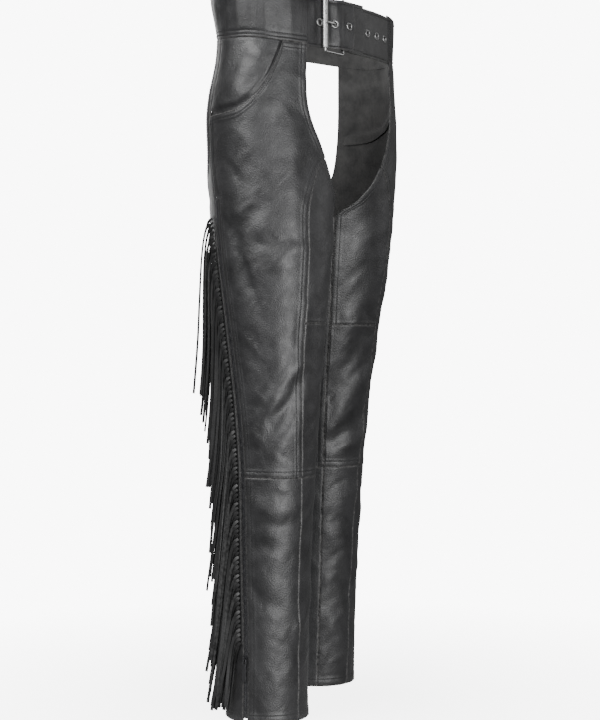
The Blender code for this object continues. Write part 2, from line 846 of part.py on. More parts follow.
def strip_point(side, share, z, offset):
    """A point over the straight strip of the back panel, share 0 at its front edge."""
    near = line_point(side, back_start, z, offset)
    far = line_point(side, strip_end, z, offset)
    return near.lerp(far, share)


def zipper(first, second, height):
    """Triangles between two runs of point numbers, both ordered downwards."""
    faces = []
    i, j = 0, 0
    while i < len(first) - 1 or j < len(second) - 1:
        next_first = height[first[i + 1]] if i < len(first) - 1 else -math.inf
        next_second = height[second[j + 1]] if j < len(second) - 1 else -math.inf
        if next_first >= next_second:
            faces.append((first[i], first[i + 1], second[j]))
            i += 1
        else:
            faces.append((first[i], second[j + 1], second[j]))
            j += 1
    return faces


def strand_place(number, drop, length):
    """How far a strand has moved back and out at a drop below its root."""
    layer = STRAND_LAYERS - 1 - number % STRAND_LAYERS
    settle = 1.0 - math.exp(-drop / STRAND_THROW)
    sway = STRAND_SWAY * (scatter(number) - 0.5) * drop / length
    back = STRAND_THROW * settle + STRAND_SLOPE * drop + sway
    out = STRAND_CLEAR + layer * STRAND_LAYER_STEP + STRAND_LIFT * drop
    return back, out


def fringe(side):
    """A narrow strip on the back panel's front edge with thongs that hang from it."""
    pitch = (FRINGE_TOP - FRINGE_BOTTOM) / STRANDS
    strip_front = FRINGE_INSET / SIDE_STRIP
    strip_back = (FRINGE_INSET + FRINGE_STRIP) / SIDE_STRIP
    root_share = (strip_front + strip_back) / 2.0
    low, high = SEAM_GAP, SEAM_GAP + FRINGE_STRIP_WALL
    inner_levels = [z for z in UPPER_LEVELS + LOWER_LEVELS[1:] if FRINGE_BOTTOM < z < FRINGE_TOP]
    levels = [FRINGE_TOP] + inner_levels + [FRINGE_BOTTOM]
    points, faces = [], []

    def add(point):
        points.append(point)
        return len(points) - 1

    corners = {}
    for edge, share in (("front", strip_front), ("back", strip_back)):
        for layer, offset in (("low", low), ("high", high)):
            corners[edge, layer] = [add(strip_point(side, share, z, offset)) for z in levels]
    for ring_edge in ((("front", "low"), ("front", "high")), (("back", "high"), ("back", "low")),
                      (("back", "low"), ("front", "low"))):
        one, other = corners[ring_edge[0]], corners[ring_edge[1]]
        for here in range(len(levels) - 1):
            faces.append((one[here], one[here + 1], other[here + 1], other[here]))

    front_line, back_line, roots = [], [], []
    for number in range(STRANDS):
        z = FRINGE_TOP - pitch * (number + 0.5)
        half = ROOT_HALF_WIDTH / SIDE_STRIP
        nose = add(strip_point(side, root_share - half, z, high))
        upper = add(strip_point(side, root_share + half, z + ROOT_HALF_HEIGHT, high))
        under = add(strip_point(side, root_share + half, z - ROOT_HALF_HEIGHT, high))
        front_line.append(nose)
        back_line += [upper, under]
        roots.append((z, nose, upper, under))
    height = {index: points[index].z for index in range(len(points))}
    for above, below in zip(roots, roots[1:]):
        faces.append((above[1], above[3], below[2]))
        faces.append((above[1], below[2], below[1]))
    first, last = roots[0], roots[-1]
    front_run, back_run = corners["front", "high"], corners["back", "high"]
    faces += zipper(front_run, front_line, height)
    faces += zipper(back_line, back_run, height)
    faces.append((front_run[0], first[1], first[2]))
    faces.append((front_run[0], first[2], back_run[0]))
    faces.append((front_run[-1], last[3], last[1]))
    faces.append((front_run[-1], back_run[-1], last[3]))
    for end in (0, -1):
        faces.append((corners["front", "low"][end], corners["front", "high"][end],
                      corners["back", "high"][end], corners["back", "low"][end]))

    for number, (z, nose, upper, under) in enumerate(roots):
        length = STRAND_LENGTH * (1.0 - STRAND_UNEVEN * scatter(number + 7))
        length = min(length, z - STRAND_FLOOR - STRAND_END_UNEVEN * scatter(number + 3))
        before = (nose, upper, under)
        for drop in (STRAND_KNEE, STRAND_BEND * length, length):
            back, out = strand_place(number, drop, length)
            here = z - drop
            angle = back_start(here) + gap_angle(here, SIDE_STRIP * root_share)
            base = strip_point(side, root_share, here, high)
            n, t = outward(side, angle), onward(side, angle)
            middle = base + t * back + n * out
            after = (
                add(middle - t * (STRAND_WIDTH / 2.0)),
                add(middle + n * STRAND_THICKNESS),
                add(middle + t * (STRAND_WIDTH / 2.0)),
            )
            for one in range(3):
                two = (one + 1) % 3
                faces.append((before[one], before[two], after[two], after[one]))
            before = after
        faces.append(before)
    return add_object(side_name(side, "fringe"), points, faces, FRINGE_LEATHER, 0.5)


# Waistband and straps

def oval_point(turn, z, side):
    """A point on the waist oval: turn 0 at the front middle, 90 at the side, 180 at the back."""
    half_width = read(HIP, "half_width", z)
    angle = math.radians(turn)
    if turn <= 90.0:
        power = 2.0 / SMOOTH_POWER_FRONT
        x = half_width * math.sin(angle) ** power
        y = -read(HIP, "front", z) * max(math.cos(angle), 0.0) ** power
    else:
        x = half_width * math.sin(angle)
        y = -read(HIP, "back", z) * math.cos(angle)
    return Vector((sign(side) * x, y, z))


def oval_normal(point, z):
    """The level direction out of the waist oval at a point on it."""
    half_width = read(HIP, "half_width", z)
    if point.y < 0.0:
        front = read(HIP, "front", z)
        rise = SMOOTH_POWER_FRONT - 1.0
        x = math.copysign(abs(point.x / half_width) ** rise / half_width, point.x)
        y = -abs(point.y / front) ** rise / front
    else:
        x = point.x / half_width ** 2
        y = point.y / read(HIP, "back", z) ** 2
    return Vector((x, y, 0.0)).normalized()


def band_start(z):
    """The turn round the waist oval at which the waistband's front end stands."""
    reach = BAND_END / read(HIP, "half_width", z)
    return math.degrees(math.asin(reach ** (SMOOTH_POWER_FRONT / 2.0)))


def waistband(side):
    """Half of the waistband, from the strap at the front to the seam in the middle of the back."""
    columns, rows = 22, 2
    outer = [[] for _ in range(rows + 1)]
    inner = [[] for _ in range(rows + 1)]
    for place in range(columns + 1):
        share = place / columns
        for row in range(rows + 1):
            middle = oval_point(mix(band_start(0.0), 180.0, share), 0.0, side)
            z = mix(band_top(middle), band_bottom(middle), row / rows)
            turn = mix(band_start(z), 180.0, share)
            point = oval_point(turn, z, side)
            if place == columns:
                point.x = sign(side) * SEAM_GAP / 2.0
            normal = oval_normal(point, z)
            if place == columns:
                normal = Vector((0.0, 1.0, 0.0))
            outer[row].append(point + normal * BAND_PROUD)
            inner[row].append(point - normal * BAND_INSIDE)
    return wall_object(side_name(side, "waistband"), outer, inner)


def front_place(x, offset, z=0.0):
    """A point in front of the waist oval, offset out of it, at a distance from the middle."""
    half_width = read(HIP, "half_width", BUCKLE_LEVEL)
    front = read(HIP, "front", BUCKLE_LEVEL)
    y = -front * (1.0 - abs(x / half_width) ** SMOOTH_POWER_FRONT) ** (1.0 / SMOOTH_POWER_FRONT)
    point = Vector((x, y, z))
    return point + oval_normal(point, BUCKLE_LEVEL) * offset


def right_strap_offset(x):
    """The strap lies on the body, passes behind the roller and climbs over the hinge bar."""
    return mix(STRAP_SEAT, STRAP_LIFT, smooth(-0.066, -0.038, x))


def strap_frame(x, offset_at):
    """The outer surface point of a strap at x with its directions along and out."""
    here = front_place(x, offset_at(x))
    ahead = front_place(x + 0.0005, offset_at(x + 0.0005))
    along = (ahead - here).normalized()
    out = Vector((along.y, -along.x, 0.0))
    return here + out * STRAP_WALL, along, out


def right_strap():
    """The strap with the free end, curved a little at its tip."""
    start = -BAND_END + 2.0 * SEAM_GAP
    columns, rows = 22, 4
    outer, inner = [], []
    for row in range(rows + 1):
        height = 1.0 - 2.0 * row / rows
        z = mix(STRAP_BOTTOM, STRAP_TOP, (height + 1.0) / 2.0)
        tip = STRAP_TIP - 0.0045 * height * height
        outer_row, inner_row = [], []
        for place in range(columns + 1):
            x = mix(start, tip, place / columns)
            surface, _, out = strap_frame(x, right_strap_offset)
            outer_row.append(Vector((surface.x, surface.y, z)))
            lower = surface - out * STRAP_WALL
            inner_row.append(Vector((lower.x, lower.y, z)))
        outer.append(outer_row)
        inner.append(inner_row)
    strap = wall_object("right_strap", outer, inner)
    holes = []
    for number, x in enumerate(RIGHT_EYELETS):
        surface, _, out = strap_frame(x, right_strap_offset)
        middle = Vector((surface.x, surface.y, BUCKLE_MID))
        holes.append(cylinder("right_hole_guide_%d" % number, middle, out, EYELET_BORE, 0.009))
    cut(strap, holes)
    return strap


def left_strap_path():
    """The middle line of the left strap: along the body, round the hinge bar and back."""
    half = STRAP_WALL / 2.0
    centre = front_place(HINGE_X, HINGE_OFFSET)
    normal = oval_normal(front_place(HINGE_X, 0.0), BUCKLE_LEVEL)
    tangent = Vector((-normal.y, normal.x, 0.0))
    radius = WIRE_RADIUS + SEAM_GAP + half
    path = []
    body_run, wrap_steps, return_run = 16, 8, 6
    for step in range(body_run + 1):
        x = mix(BAND_END - 2.0 * SEAM_GAP, HINGE_X + 0.003, step / body_run)
        path.append(front_place(x, STRAP_SEAT + half))
    for step in range(wrap_steps + 1):
        turn = math.radians(-90.0 + 180.0 * step / wrap_steps)
        path.append(centre - tangent * (radius * math.cos(turn)) + normal * (radius * math.sin(turn)))
    for step in range(1, return_run + 1):
        x = mix(HINGE_X, WRAP_END, step / return_run)
        path.append(front_place(x, HINGE_OFFSET + radius))
    return path, body_run + wrap_steps // 2


def left_strap():
    """The strap that is folded round the hinge bar, with a slot where the prong turns."""
    path, fold = left_strap_path()
    half = STRAP_WALL / 2.0
    rows = 2
    outer = [[] for _ in range(rows + 1)]
    inner = [[] for _ in range(rows + 1)]
    for place, here in enumerate(path):
        before = path[max(place - 1, 0)]
        after = path[min(place + 1, len(path) - 1)]
        along = (after - before).normalized()
        out = Vector((-along.y, along.x, 0.0))
        wider = WRAP_WIDER if place > fold else 0.0
        for row in range(rows + 1):
            z = mix(STRAP_TOP + wider, STRAP_BOTTOM - wider, row / rows)
            outer[row].append(Vector((here.x + out.x * half, here.y + out.y * half, z)))
            inner[row].append(Vector((here.x - out.x * half, here.y - out.y * half, z)))
    strap = wall_object("left_strap", outer, inner)
    cutters = []
    for number, x in enumerate(LEFT_EYELETS):
        middle = front_place(x, 0.0, BUCKLE_MID)
        axis = oval_normal(front_place(x, 0.0), BUCKLE_LEVEL)
        cutters.append(cylinder("left_hole_guide_%d" % number, middle, axis, EYELET_BORE, 0.009))
    slot_mid = front_place(HINGE_X + 0.0002, HINGE_OFFSET, BUCKLE_MID)
    axes = (Vector((1.0, 0.0, 0.0)), Vector((0.0, 1.0, 0.0)), Vector((0.0, 0.0, 1.0)))
    cutters.append(box("slot_guide", slot_mid, (0.0065, 0.0080, 0.0030), axes))
    cut(strap, cutters)
    return strap


def eyelets():
    """Flat metal rings round the straps' holes."""
    for number, x in enumerate(RIGHT_EYELETS):
        surface, _, out = strap_frame(x, right_strap_offset)
        middle = Vector((surface.x, surface.y, BUCKLE_MID)) + out * (EYELET_LIFT + EYELET_WALL / 2.0)
        ring("right_eyelet_%d" % (number + 1), middle, out, EYELET_RADIUS, EYELET_BORE, EYELET_WALL,
             14, STEEL, 0.3)
    for number, x in enumerate(LEFT_EYELETS):
        axis = oval_normal(front_place(x, 0.0), BUCKLE_LEVEL)
        lift = STRAP_SEAT + STRAP_WALL + EYELET_LIFT + EYELET_WALL / 2.0
        middle = front_place(x, lift, BUCKLE_MID)
        ring("left_eyelet_%d" % (number + 1), middle, axis, EYELET_RADIUS, EYELET_BORE, EYELET_WALL,
             14, STEEL, 0.3)


# Buckle

def buckle_frame():
    """A closed loop of round wire: the roller's bar, two rails and the hinge bar."""
    left = front_place(ROLLER_X, ROLLER_OFFSET)
    right = front_place(HINGE_X, HINGE_OFFSET)
    along = right - left
    width = along.length
    along.normalize()
    flat = Vector((along.y, -along.x, 0.0))
    up = Vector((0.0, 0.0, 1.0))
    corners = (
        (FRAME_CORNER, FRAME_TOP - FRAME_CORNER, 180.0, 90.0),
        (width - FRAME_CORNER, FRAME_TOP - FRAME_CORNER, 90.0, 0.0),
        (width - FRAME_CORNER, FRAME_BOTTOM + FRAME_CORNER, 0.0, -90.0),
        (FRAME_CORNER, FRAME_BOTTOM + FRAME_CORNER, -90.0, -180.0),
    )
    steps, sides = 4, 8
    path = []
    for x, z, first, last in corners:
        for step in range(steps + 1):
            turn = math.radians(mix(first, last, step / steps))
            spoke = along * math.cos(turn) + up * math.sin(turn)
            path.append((left + along * x + up * z + spoke * FRAME_CORNER, spoke))
    points, faces = [], []
    for point, spoke in path:
        for step in range(sides):
            turn = 2.0 * math.pi * (step + 0.5) / sides
            points.append(point + (spoke * math.cos(turn) + flat * math.sin(turn)) * WIRE_RADIUS)
    count = len(path)
    for place in range(count):
        after = (place + 1) % count
        for step in range(sides):
            turn = (step + 1) % sides
            faces.append((place * sides + step, place * sides + turn,
                          after * sides + turn, after * sides + step))
    return add_object("buckle_frame", points, faces, STEEL, 0.25, 1.0)


def buckle_roller():
    low, high = FRAME_BOTTOM + FRAME_CORNER + 0.0015, FRAME_TOP - FRAME_CORNER - 0.0015
    middle = front_place(ROLLER_X, ROLLER_OFFSET, (low + high) / 2.0)
    return ring("buckle_roller", middle, Vector((0.0, 0.0, 1.0)), ROLLER_RADIUS, ROLLER_BORE,
                high - low, 16, STEEL, 0.25)


def buckle_prong():
    """Flat bar hooked round the hinge bar; it rises through the strap's hole to the roller."""
    centre = front_place(HINGE_X, HINGE_OFFSET)
    normal = oval_normal(front_place(HINGE_X, 0.0), BUCKLE_LEVEL)
    tangent = Vector((-normal.y, normal.x, 0.0))
    radius = WIRE_RADIUS + SEAM_GAP + PRONG_WALL / 2.0
    path = []
    hook_steps = 9
    for step in range(hook_steps + 1):
        turn = math.radians(mix(-160.0, 90.0, step / hook_steps))
        path.append(centre + tangent * (radius * math.cos(turn)) + normal * (radius * math.sin(turn)))
    rise = (
        (-0.0335, HINGE_OFFSET + 0.0026), (-0.0400, 0.0040), (-0.0475, 0.0032), (-0.0545, 0.0090),
        (-0.0600, 0.0109), (-0.0735, 0.0115),
    )
    path += [front_place(x, offset) for x, offset in rise]
    half = PRONG_WALL / 2.0
    outer = [[], []]
    inner = [[], []]
    for place, here in enumerate(path):
        before = path[max(place - 1, 0)]
        after = path[min(place + 1, len(path) - 1)]
        along = (after - before).normalized()
        out = Vector((along.y, -along.x, 0.0))
        for row, z in enumerate((BUCKLE_MID + PRONG_HALF_HEIGHT, BUCKLE_MID - PRONG_HALF_HEIGHT)):
            outer[row].append(Vector((here.x + out.x * half, here.y + out.y * half, z)))
            inner[row].append(Vector((here.x - out.x * half, here.y - out.y * half, z)))
    points = [point for row in outer for point in row] + [point for row in inner for point in row]
    return add_object("buckle_prong", points, wall_faces(2, len(path)), STEEL, 0.25, 1.0)


def build():
    for old in list(bpy.data.objects):
        bpy.data.objects.remove(old, do_unlink=True)
    for side in ("right", "left"):
        leg_panels(side)
        pocket_facing(side)
        zip_chain(side)
        zip_slider(side)
        zip_pull(side)
        fringe(side)
        waistband(side)
    right_strap()
    left_strap()
    eyelets()
    buckle_frame()
    buckle_roller()
    buckle_prong()


build()
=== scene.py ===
"""The looks of the black leather chaps: panels, seams, stitching, fringe, zips, belt and buckle.

Lengths are in metres and angles in degrees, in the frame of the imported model: +Z up, the wearer
faces -Y and +X is the wearer's left. A place on a leg is an angle round the leg and a height:
0 is straight ahead, positive angles turn outward to the side, negative ones to the other leg.
"""
import math

import bmesh
import bpy
import numpy as np
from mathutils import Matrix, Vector


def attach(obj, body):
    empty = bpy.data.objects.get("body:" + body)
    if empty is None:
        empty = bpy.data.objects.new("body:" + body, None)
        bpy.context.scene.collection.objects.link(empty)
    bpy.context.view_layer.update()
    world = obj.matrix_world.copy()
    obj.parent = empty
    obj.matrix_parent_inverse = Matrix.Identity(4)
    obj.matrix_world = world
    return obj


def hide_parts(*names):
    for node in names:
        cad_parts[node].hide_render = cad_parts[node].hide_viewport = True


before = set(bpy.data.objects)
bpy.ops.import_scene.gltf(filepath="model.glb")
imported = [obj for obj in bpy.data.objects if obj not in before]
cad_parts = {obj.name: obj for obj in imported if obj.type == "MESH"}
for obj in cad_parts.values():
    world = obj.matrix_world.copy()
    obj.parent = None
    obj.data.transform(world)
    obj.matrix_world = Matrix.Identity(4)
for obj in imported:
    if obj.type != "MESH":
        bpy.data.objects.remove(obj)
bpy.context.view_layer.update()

SIDES = ("right", "left")
BODY = "chaps"

# Leather and seams
WALL = 0.0018
SEAM_GAP = 0.0003
SEAM_LAP = 0.0005
GRID = 0.0032
BAND_INSIDE = 0.0022
BAND_PROUD = 0.0008
STRAP_WALL = 0.0022
STRAP_SEAT = -0.0016

# Heights
BAND_TOP = 0.033
BAND_BOTTOM = -0.034
BAND_FRONT_DIP = 0.007
BAND_BACK_RISE = 0.16
BAND_RISE_BLEND = 0.02
STRAP_TOP = 0.0295
STRAP_BOTTOM = -0.0435
OPENING_SEAM_TOP = -0.2085
ZIP_MOUTH = -0.262
ZIP_TOP = -0.265
MID_SEAM = -0.450
KNEE_SEAM = -0.674
HEM = -1.027

# Widths round the body
BAND_END = 0.098
CHAIN_WIDTH = 0.0075
SIDE_STRIP = 0.009
SMOOTH_POWER_FRONT = 2.4
SEAT_LIMIT = 0.040
MIDDLE_CLEAR = 0.0012
MIDDLE_FACING = 0.1
HIP_BLEND = (-0.130, -0.310)

LEG = {
    "columns": ("z", "half_width", "half_depth", "right_x", "right_y", "left_x", "left_y"),
    "rows": (
        (-0.130, 0.086, 0.098, -0.087, -0.004, 0.087, 0.004),
        (-0.290, 0.088, 0.095, -0.090, -0.010, 0.090, 0.012),
        (-0.340, 0.086, 0.093, -0.092, -0.013, 0.092, 0.018),
        (-0.415, 0.080, 0.086, -0.096, -0.017, 0.096, 0.027),
        (-0.482, 0.074, 0.080, -0.100, -0.021, 0.100, 0.035),
        (-0.590, 0.067, 0.072, -0.106, -0.026, 0.106, 0.047),
        (-0.672, 0.063, 0.067, -0.110, -0.028, 0.110, 0.053),
        (-0.800, 0.060, 0.062, -0.114, -0.028, 0.114, 0.061),
        (-0.900, 0.059, 0.061, -0.117, -0.028, 0.117, 0.067),
        (-1.027, 0.060, 0.061, -0.120, -0.028, 0.120, 0.074),
    ),
}

HIP = {
    "columns": ("z", "half_width", "front", "back"),
    "rows": (
        (0.034, 0.176, 0.097, 0.110),
        (-0.034, 0.170, 0.099, 0.094),
        (-0.060, 0.172, 0.100, 0.098),
        (-0.115, 0.178, 0.101, 0.122),
        (-0.150, 0.180, 0.102, 0.128),
        (-0.200, 0.180, 0.104, 0.124),
        (-0.310, 0.180, 0.104, 0.118),
    ),
}

# Where the cut edges and seams run, as angles round the leg at a height
EDGES = {
    "columns": ("z", "opening", "front_seam", "side_seam"),
    "rows": (
        (-0.030, 7.6, -60.0, 109.0),
        (-0.068, 9.0, -60.0, 110.0),
        (-0.100, 10.0, -60.0, 113.0),
        (-0.130, 8.5, -60.0, 116.5),
        (-0.160, 2.5, -60.0, 120.5),
        (-0.185, -4.0, -60.0, 122.0),
        (-0.2085, -10.5, -8.6, 122.0),
        (-0.230, -17.0, 1.5, 120.0),
        (-0.250, -26.0, 7.0, 118.0),
        (-0.262, -33.0, 9.5, 116.5),
        (-0.265, -35.5, 10.2, 110.5),
        (-0.285, -51.7, 13.5, 109.8),
        (-0.310, -51.4, 14.2, 109.0),
        (-0.340, -51.0, 13.6, 108.0),
        (-0.400, -50.5, 13.0, 104.5),
        (-0.480, -50.0, 13.6, 100.0),
        (-0.585, -50.0, 12.5, 91.5),
        (-0.674, -50.0, 7.5, 86.5),
        (-0.765, -50.0, 4.8, 84.0),
        (-0.835, -50.0, 4.8, 81.5),
        (-0.905, -50.0, 2.4, 78.0),
        (-1.027, -50.0, 1.0, 76.5),
    ),
}
INSEAM_TURN = 359.7

# The cut edge of the open seat, as an angle for a height
SEAT = {
    "columns": ("z", "angle"),
    "rows": (
        (-0.010, 128.0), (-0.085, 128.0), (-0.135, 128.6), (-0.170, 130.0), (-0.197, 132.5),
        (-0.220, 138.5), (-0.230, 144.0), (-0.2395, 150.5), (-0.248, 160.0), (-0.256, 172.0),
        (-0.264, 194.0), (-0.2695, 214.0), (-0.2733, 233.0), (-0.2776, 258.0), (-0.2814, 283.0),
        (-0.285, 308.0),
    ),
}
SEAT_END = -0.285
SEAT_ROWS = (-0.205, -0.290)
SEAT_ROW_STEP = 0.0011
EDGE_STRETCH = 7.0

# The curved pocket edge, as a height for an angle
POCKET = {
    "columns": ("angle", "height"),
    "rows": (
        (34.5, -0.036), (37.0, -0.048), (42.4, -0.0685), (51.2, -0.0965), (67.4, -0.1262),
        (83.0, -0.1395), (111.0, -0.1435), (125.0, -0.1440),
    ),
}
POCKET_START = 34.5
FACING_START = 0.8
FACING_DEPTH = 0.0026
FACING_MARGIN = 0.004
FACING_UNDERLAP = 0.009
FACING_TUCK = 0.0006

# The solids' large folds: a soft ridge (height above 0) or trough along a line on one leg
FOLDS = {
    "columns": ("leg", "angle_a", "z_a", "angle_b", "z_b", "width", "height"),
    "rows": (
        ("right", 56, -0.060, 84, -0.100, 0.016, 0.0035),
        ("right", 27, -0.170, 30, -0.338, 0.014, 0.0030),
        ("right", 60, -0.285, 86, -0.314, 0.013, -0.0040),
        ("right", 60, -0.335, 36, -0.328, 0.012, -0.0035),
        ("right", 42, -0.358, 20, -0.346, 0.013, 0.0035),
        ("right", 86, -0.329, 72, -0.395, 0.014, -0.0040),
        ("right", 31, -0.380, 29, -0.510, 0.018, 0.0025),
        ("right", 23, -0.514, 46, -0.558, 0.014, 0.0040),
        ("right", 46, -0.558, 67, -0.612, 0.014, 0.0040),
        ("right", 14, -0.530, 49, -0.595, 0.013, -0.0040),
        ("right", 41, -0.637, 13, -0.590, 0.014, 0.0035),
        ("right", 68, -0.716, 19, -0.722, 0.014, 0.0040),
        ("right", 76, -0.771, 50, -0.770, 0.013, -0.0030),
        ("right", 74, -0.835, 36, -0.862, 0.014, -0.0035),
        ("right", -40, -0.310, 8, -0.421, 0.015, 0.0035),
        ("right", -30, -0.700, 2, -0.743, 0.013, 0.0030),
        ("right", -38, -0.844, 0, -0.893, 0.015, 0.0035),
        ("left", 20, -0.330, -25, -0.445, 0.015, 0.0040),
        ("left", -25, -0.445, -53, -0.508, 0.015, 0.0040),
        ("left", 45, -0.480, -2, -0.536, 0.016, 0.0040),
        ("left", -2, -0.536, -43, -0.607, 0.015, 0.0045),
        ("left", -8, -0.470, -45, -0.560, 0.012, -0.0035),
        ("left", 21, -0.618, -41, -0.655, 0.014, 0.0040),
        ("left", 12, -0.590, -38, -0.632, 0.012, -0.0035),
        ("left", 10, -0.712, -50, -0.742, 0.014, 0.0040),
        ("left", -45, -0.775, -12, -0.801, 0.014, 0.0030),
        ("left", -20, -0.858, 14, -0.892, 0.015, -0.0035),
        ("left", -48, -0.910, -5, -0.963, 0.016, 0.0035),
        ("left", 60, -0.340, 30, -0.400, 0.015, 0.0035),
        ("left", 66, -0.560, 28, -0.600, 0.015, 0.0035),
        ("left", 62, -0.730, 24, -0.760, 0.015, 0.0035),
        ("right", 150, -0.330, 215, -0.380, 0.017, 0.0035),
        ("right", 150, -0.600, 230, -0.585, 0.016, -0.0040),
        ("right", 160, -0.640, 225, -0.655, 0.016, 0.0035),
        ("right", 140, -0.800, 210, -0.850, 0.017, 0.0030),
        ("left", 155, -0.350, 220, -0.395, 0.017, 0.0035),
        ("left", 150, -0.610, 230, -0.600, 0.016, -0.0040),
        ("left", 160, -0.700, 225, -0.690, 0.016, 0.0035),
        ("left", 145, -0.820, 210, -0.870, 0.017, 0.0030),
    ),
}
FOLD_RADIUS = 0.080
ZIP_CALM = 0.016
ZIP_CALM_MIDDLE = 6.0
FOLD_SHARE = 0.55
CREASE_SHARE = 0.60
RIPPLE_SHARE = 0.40

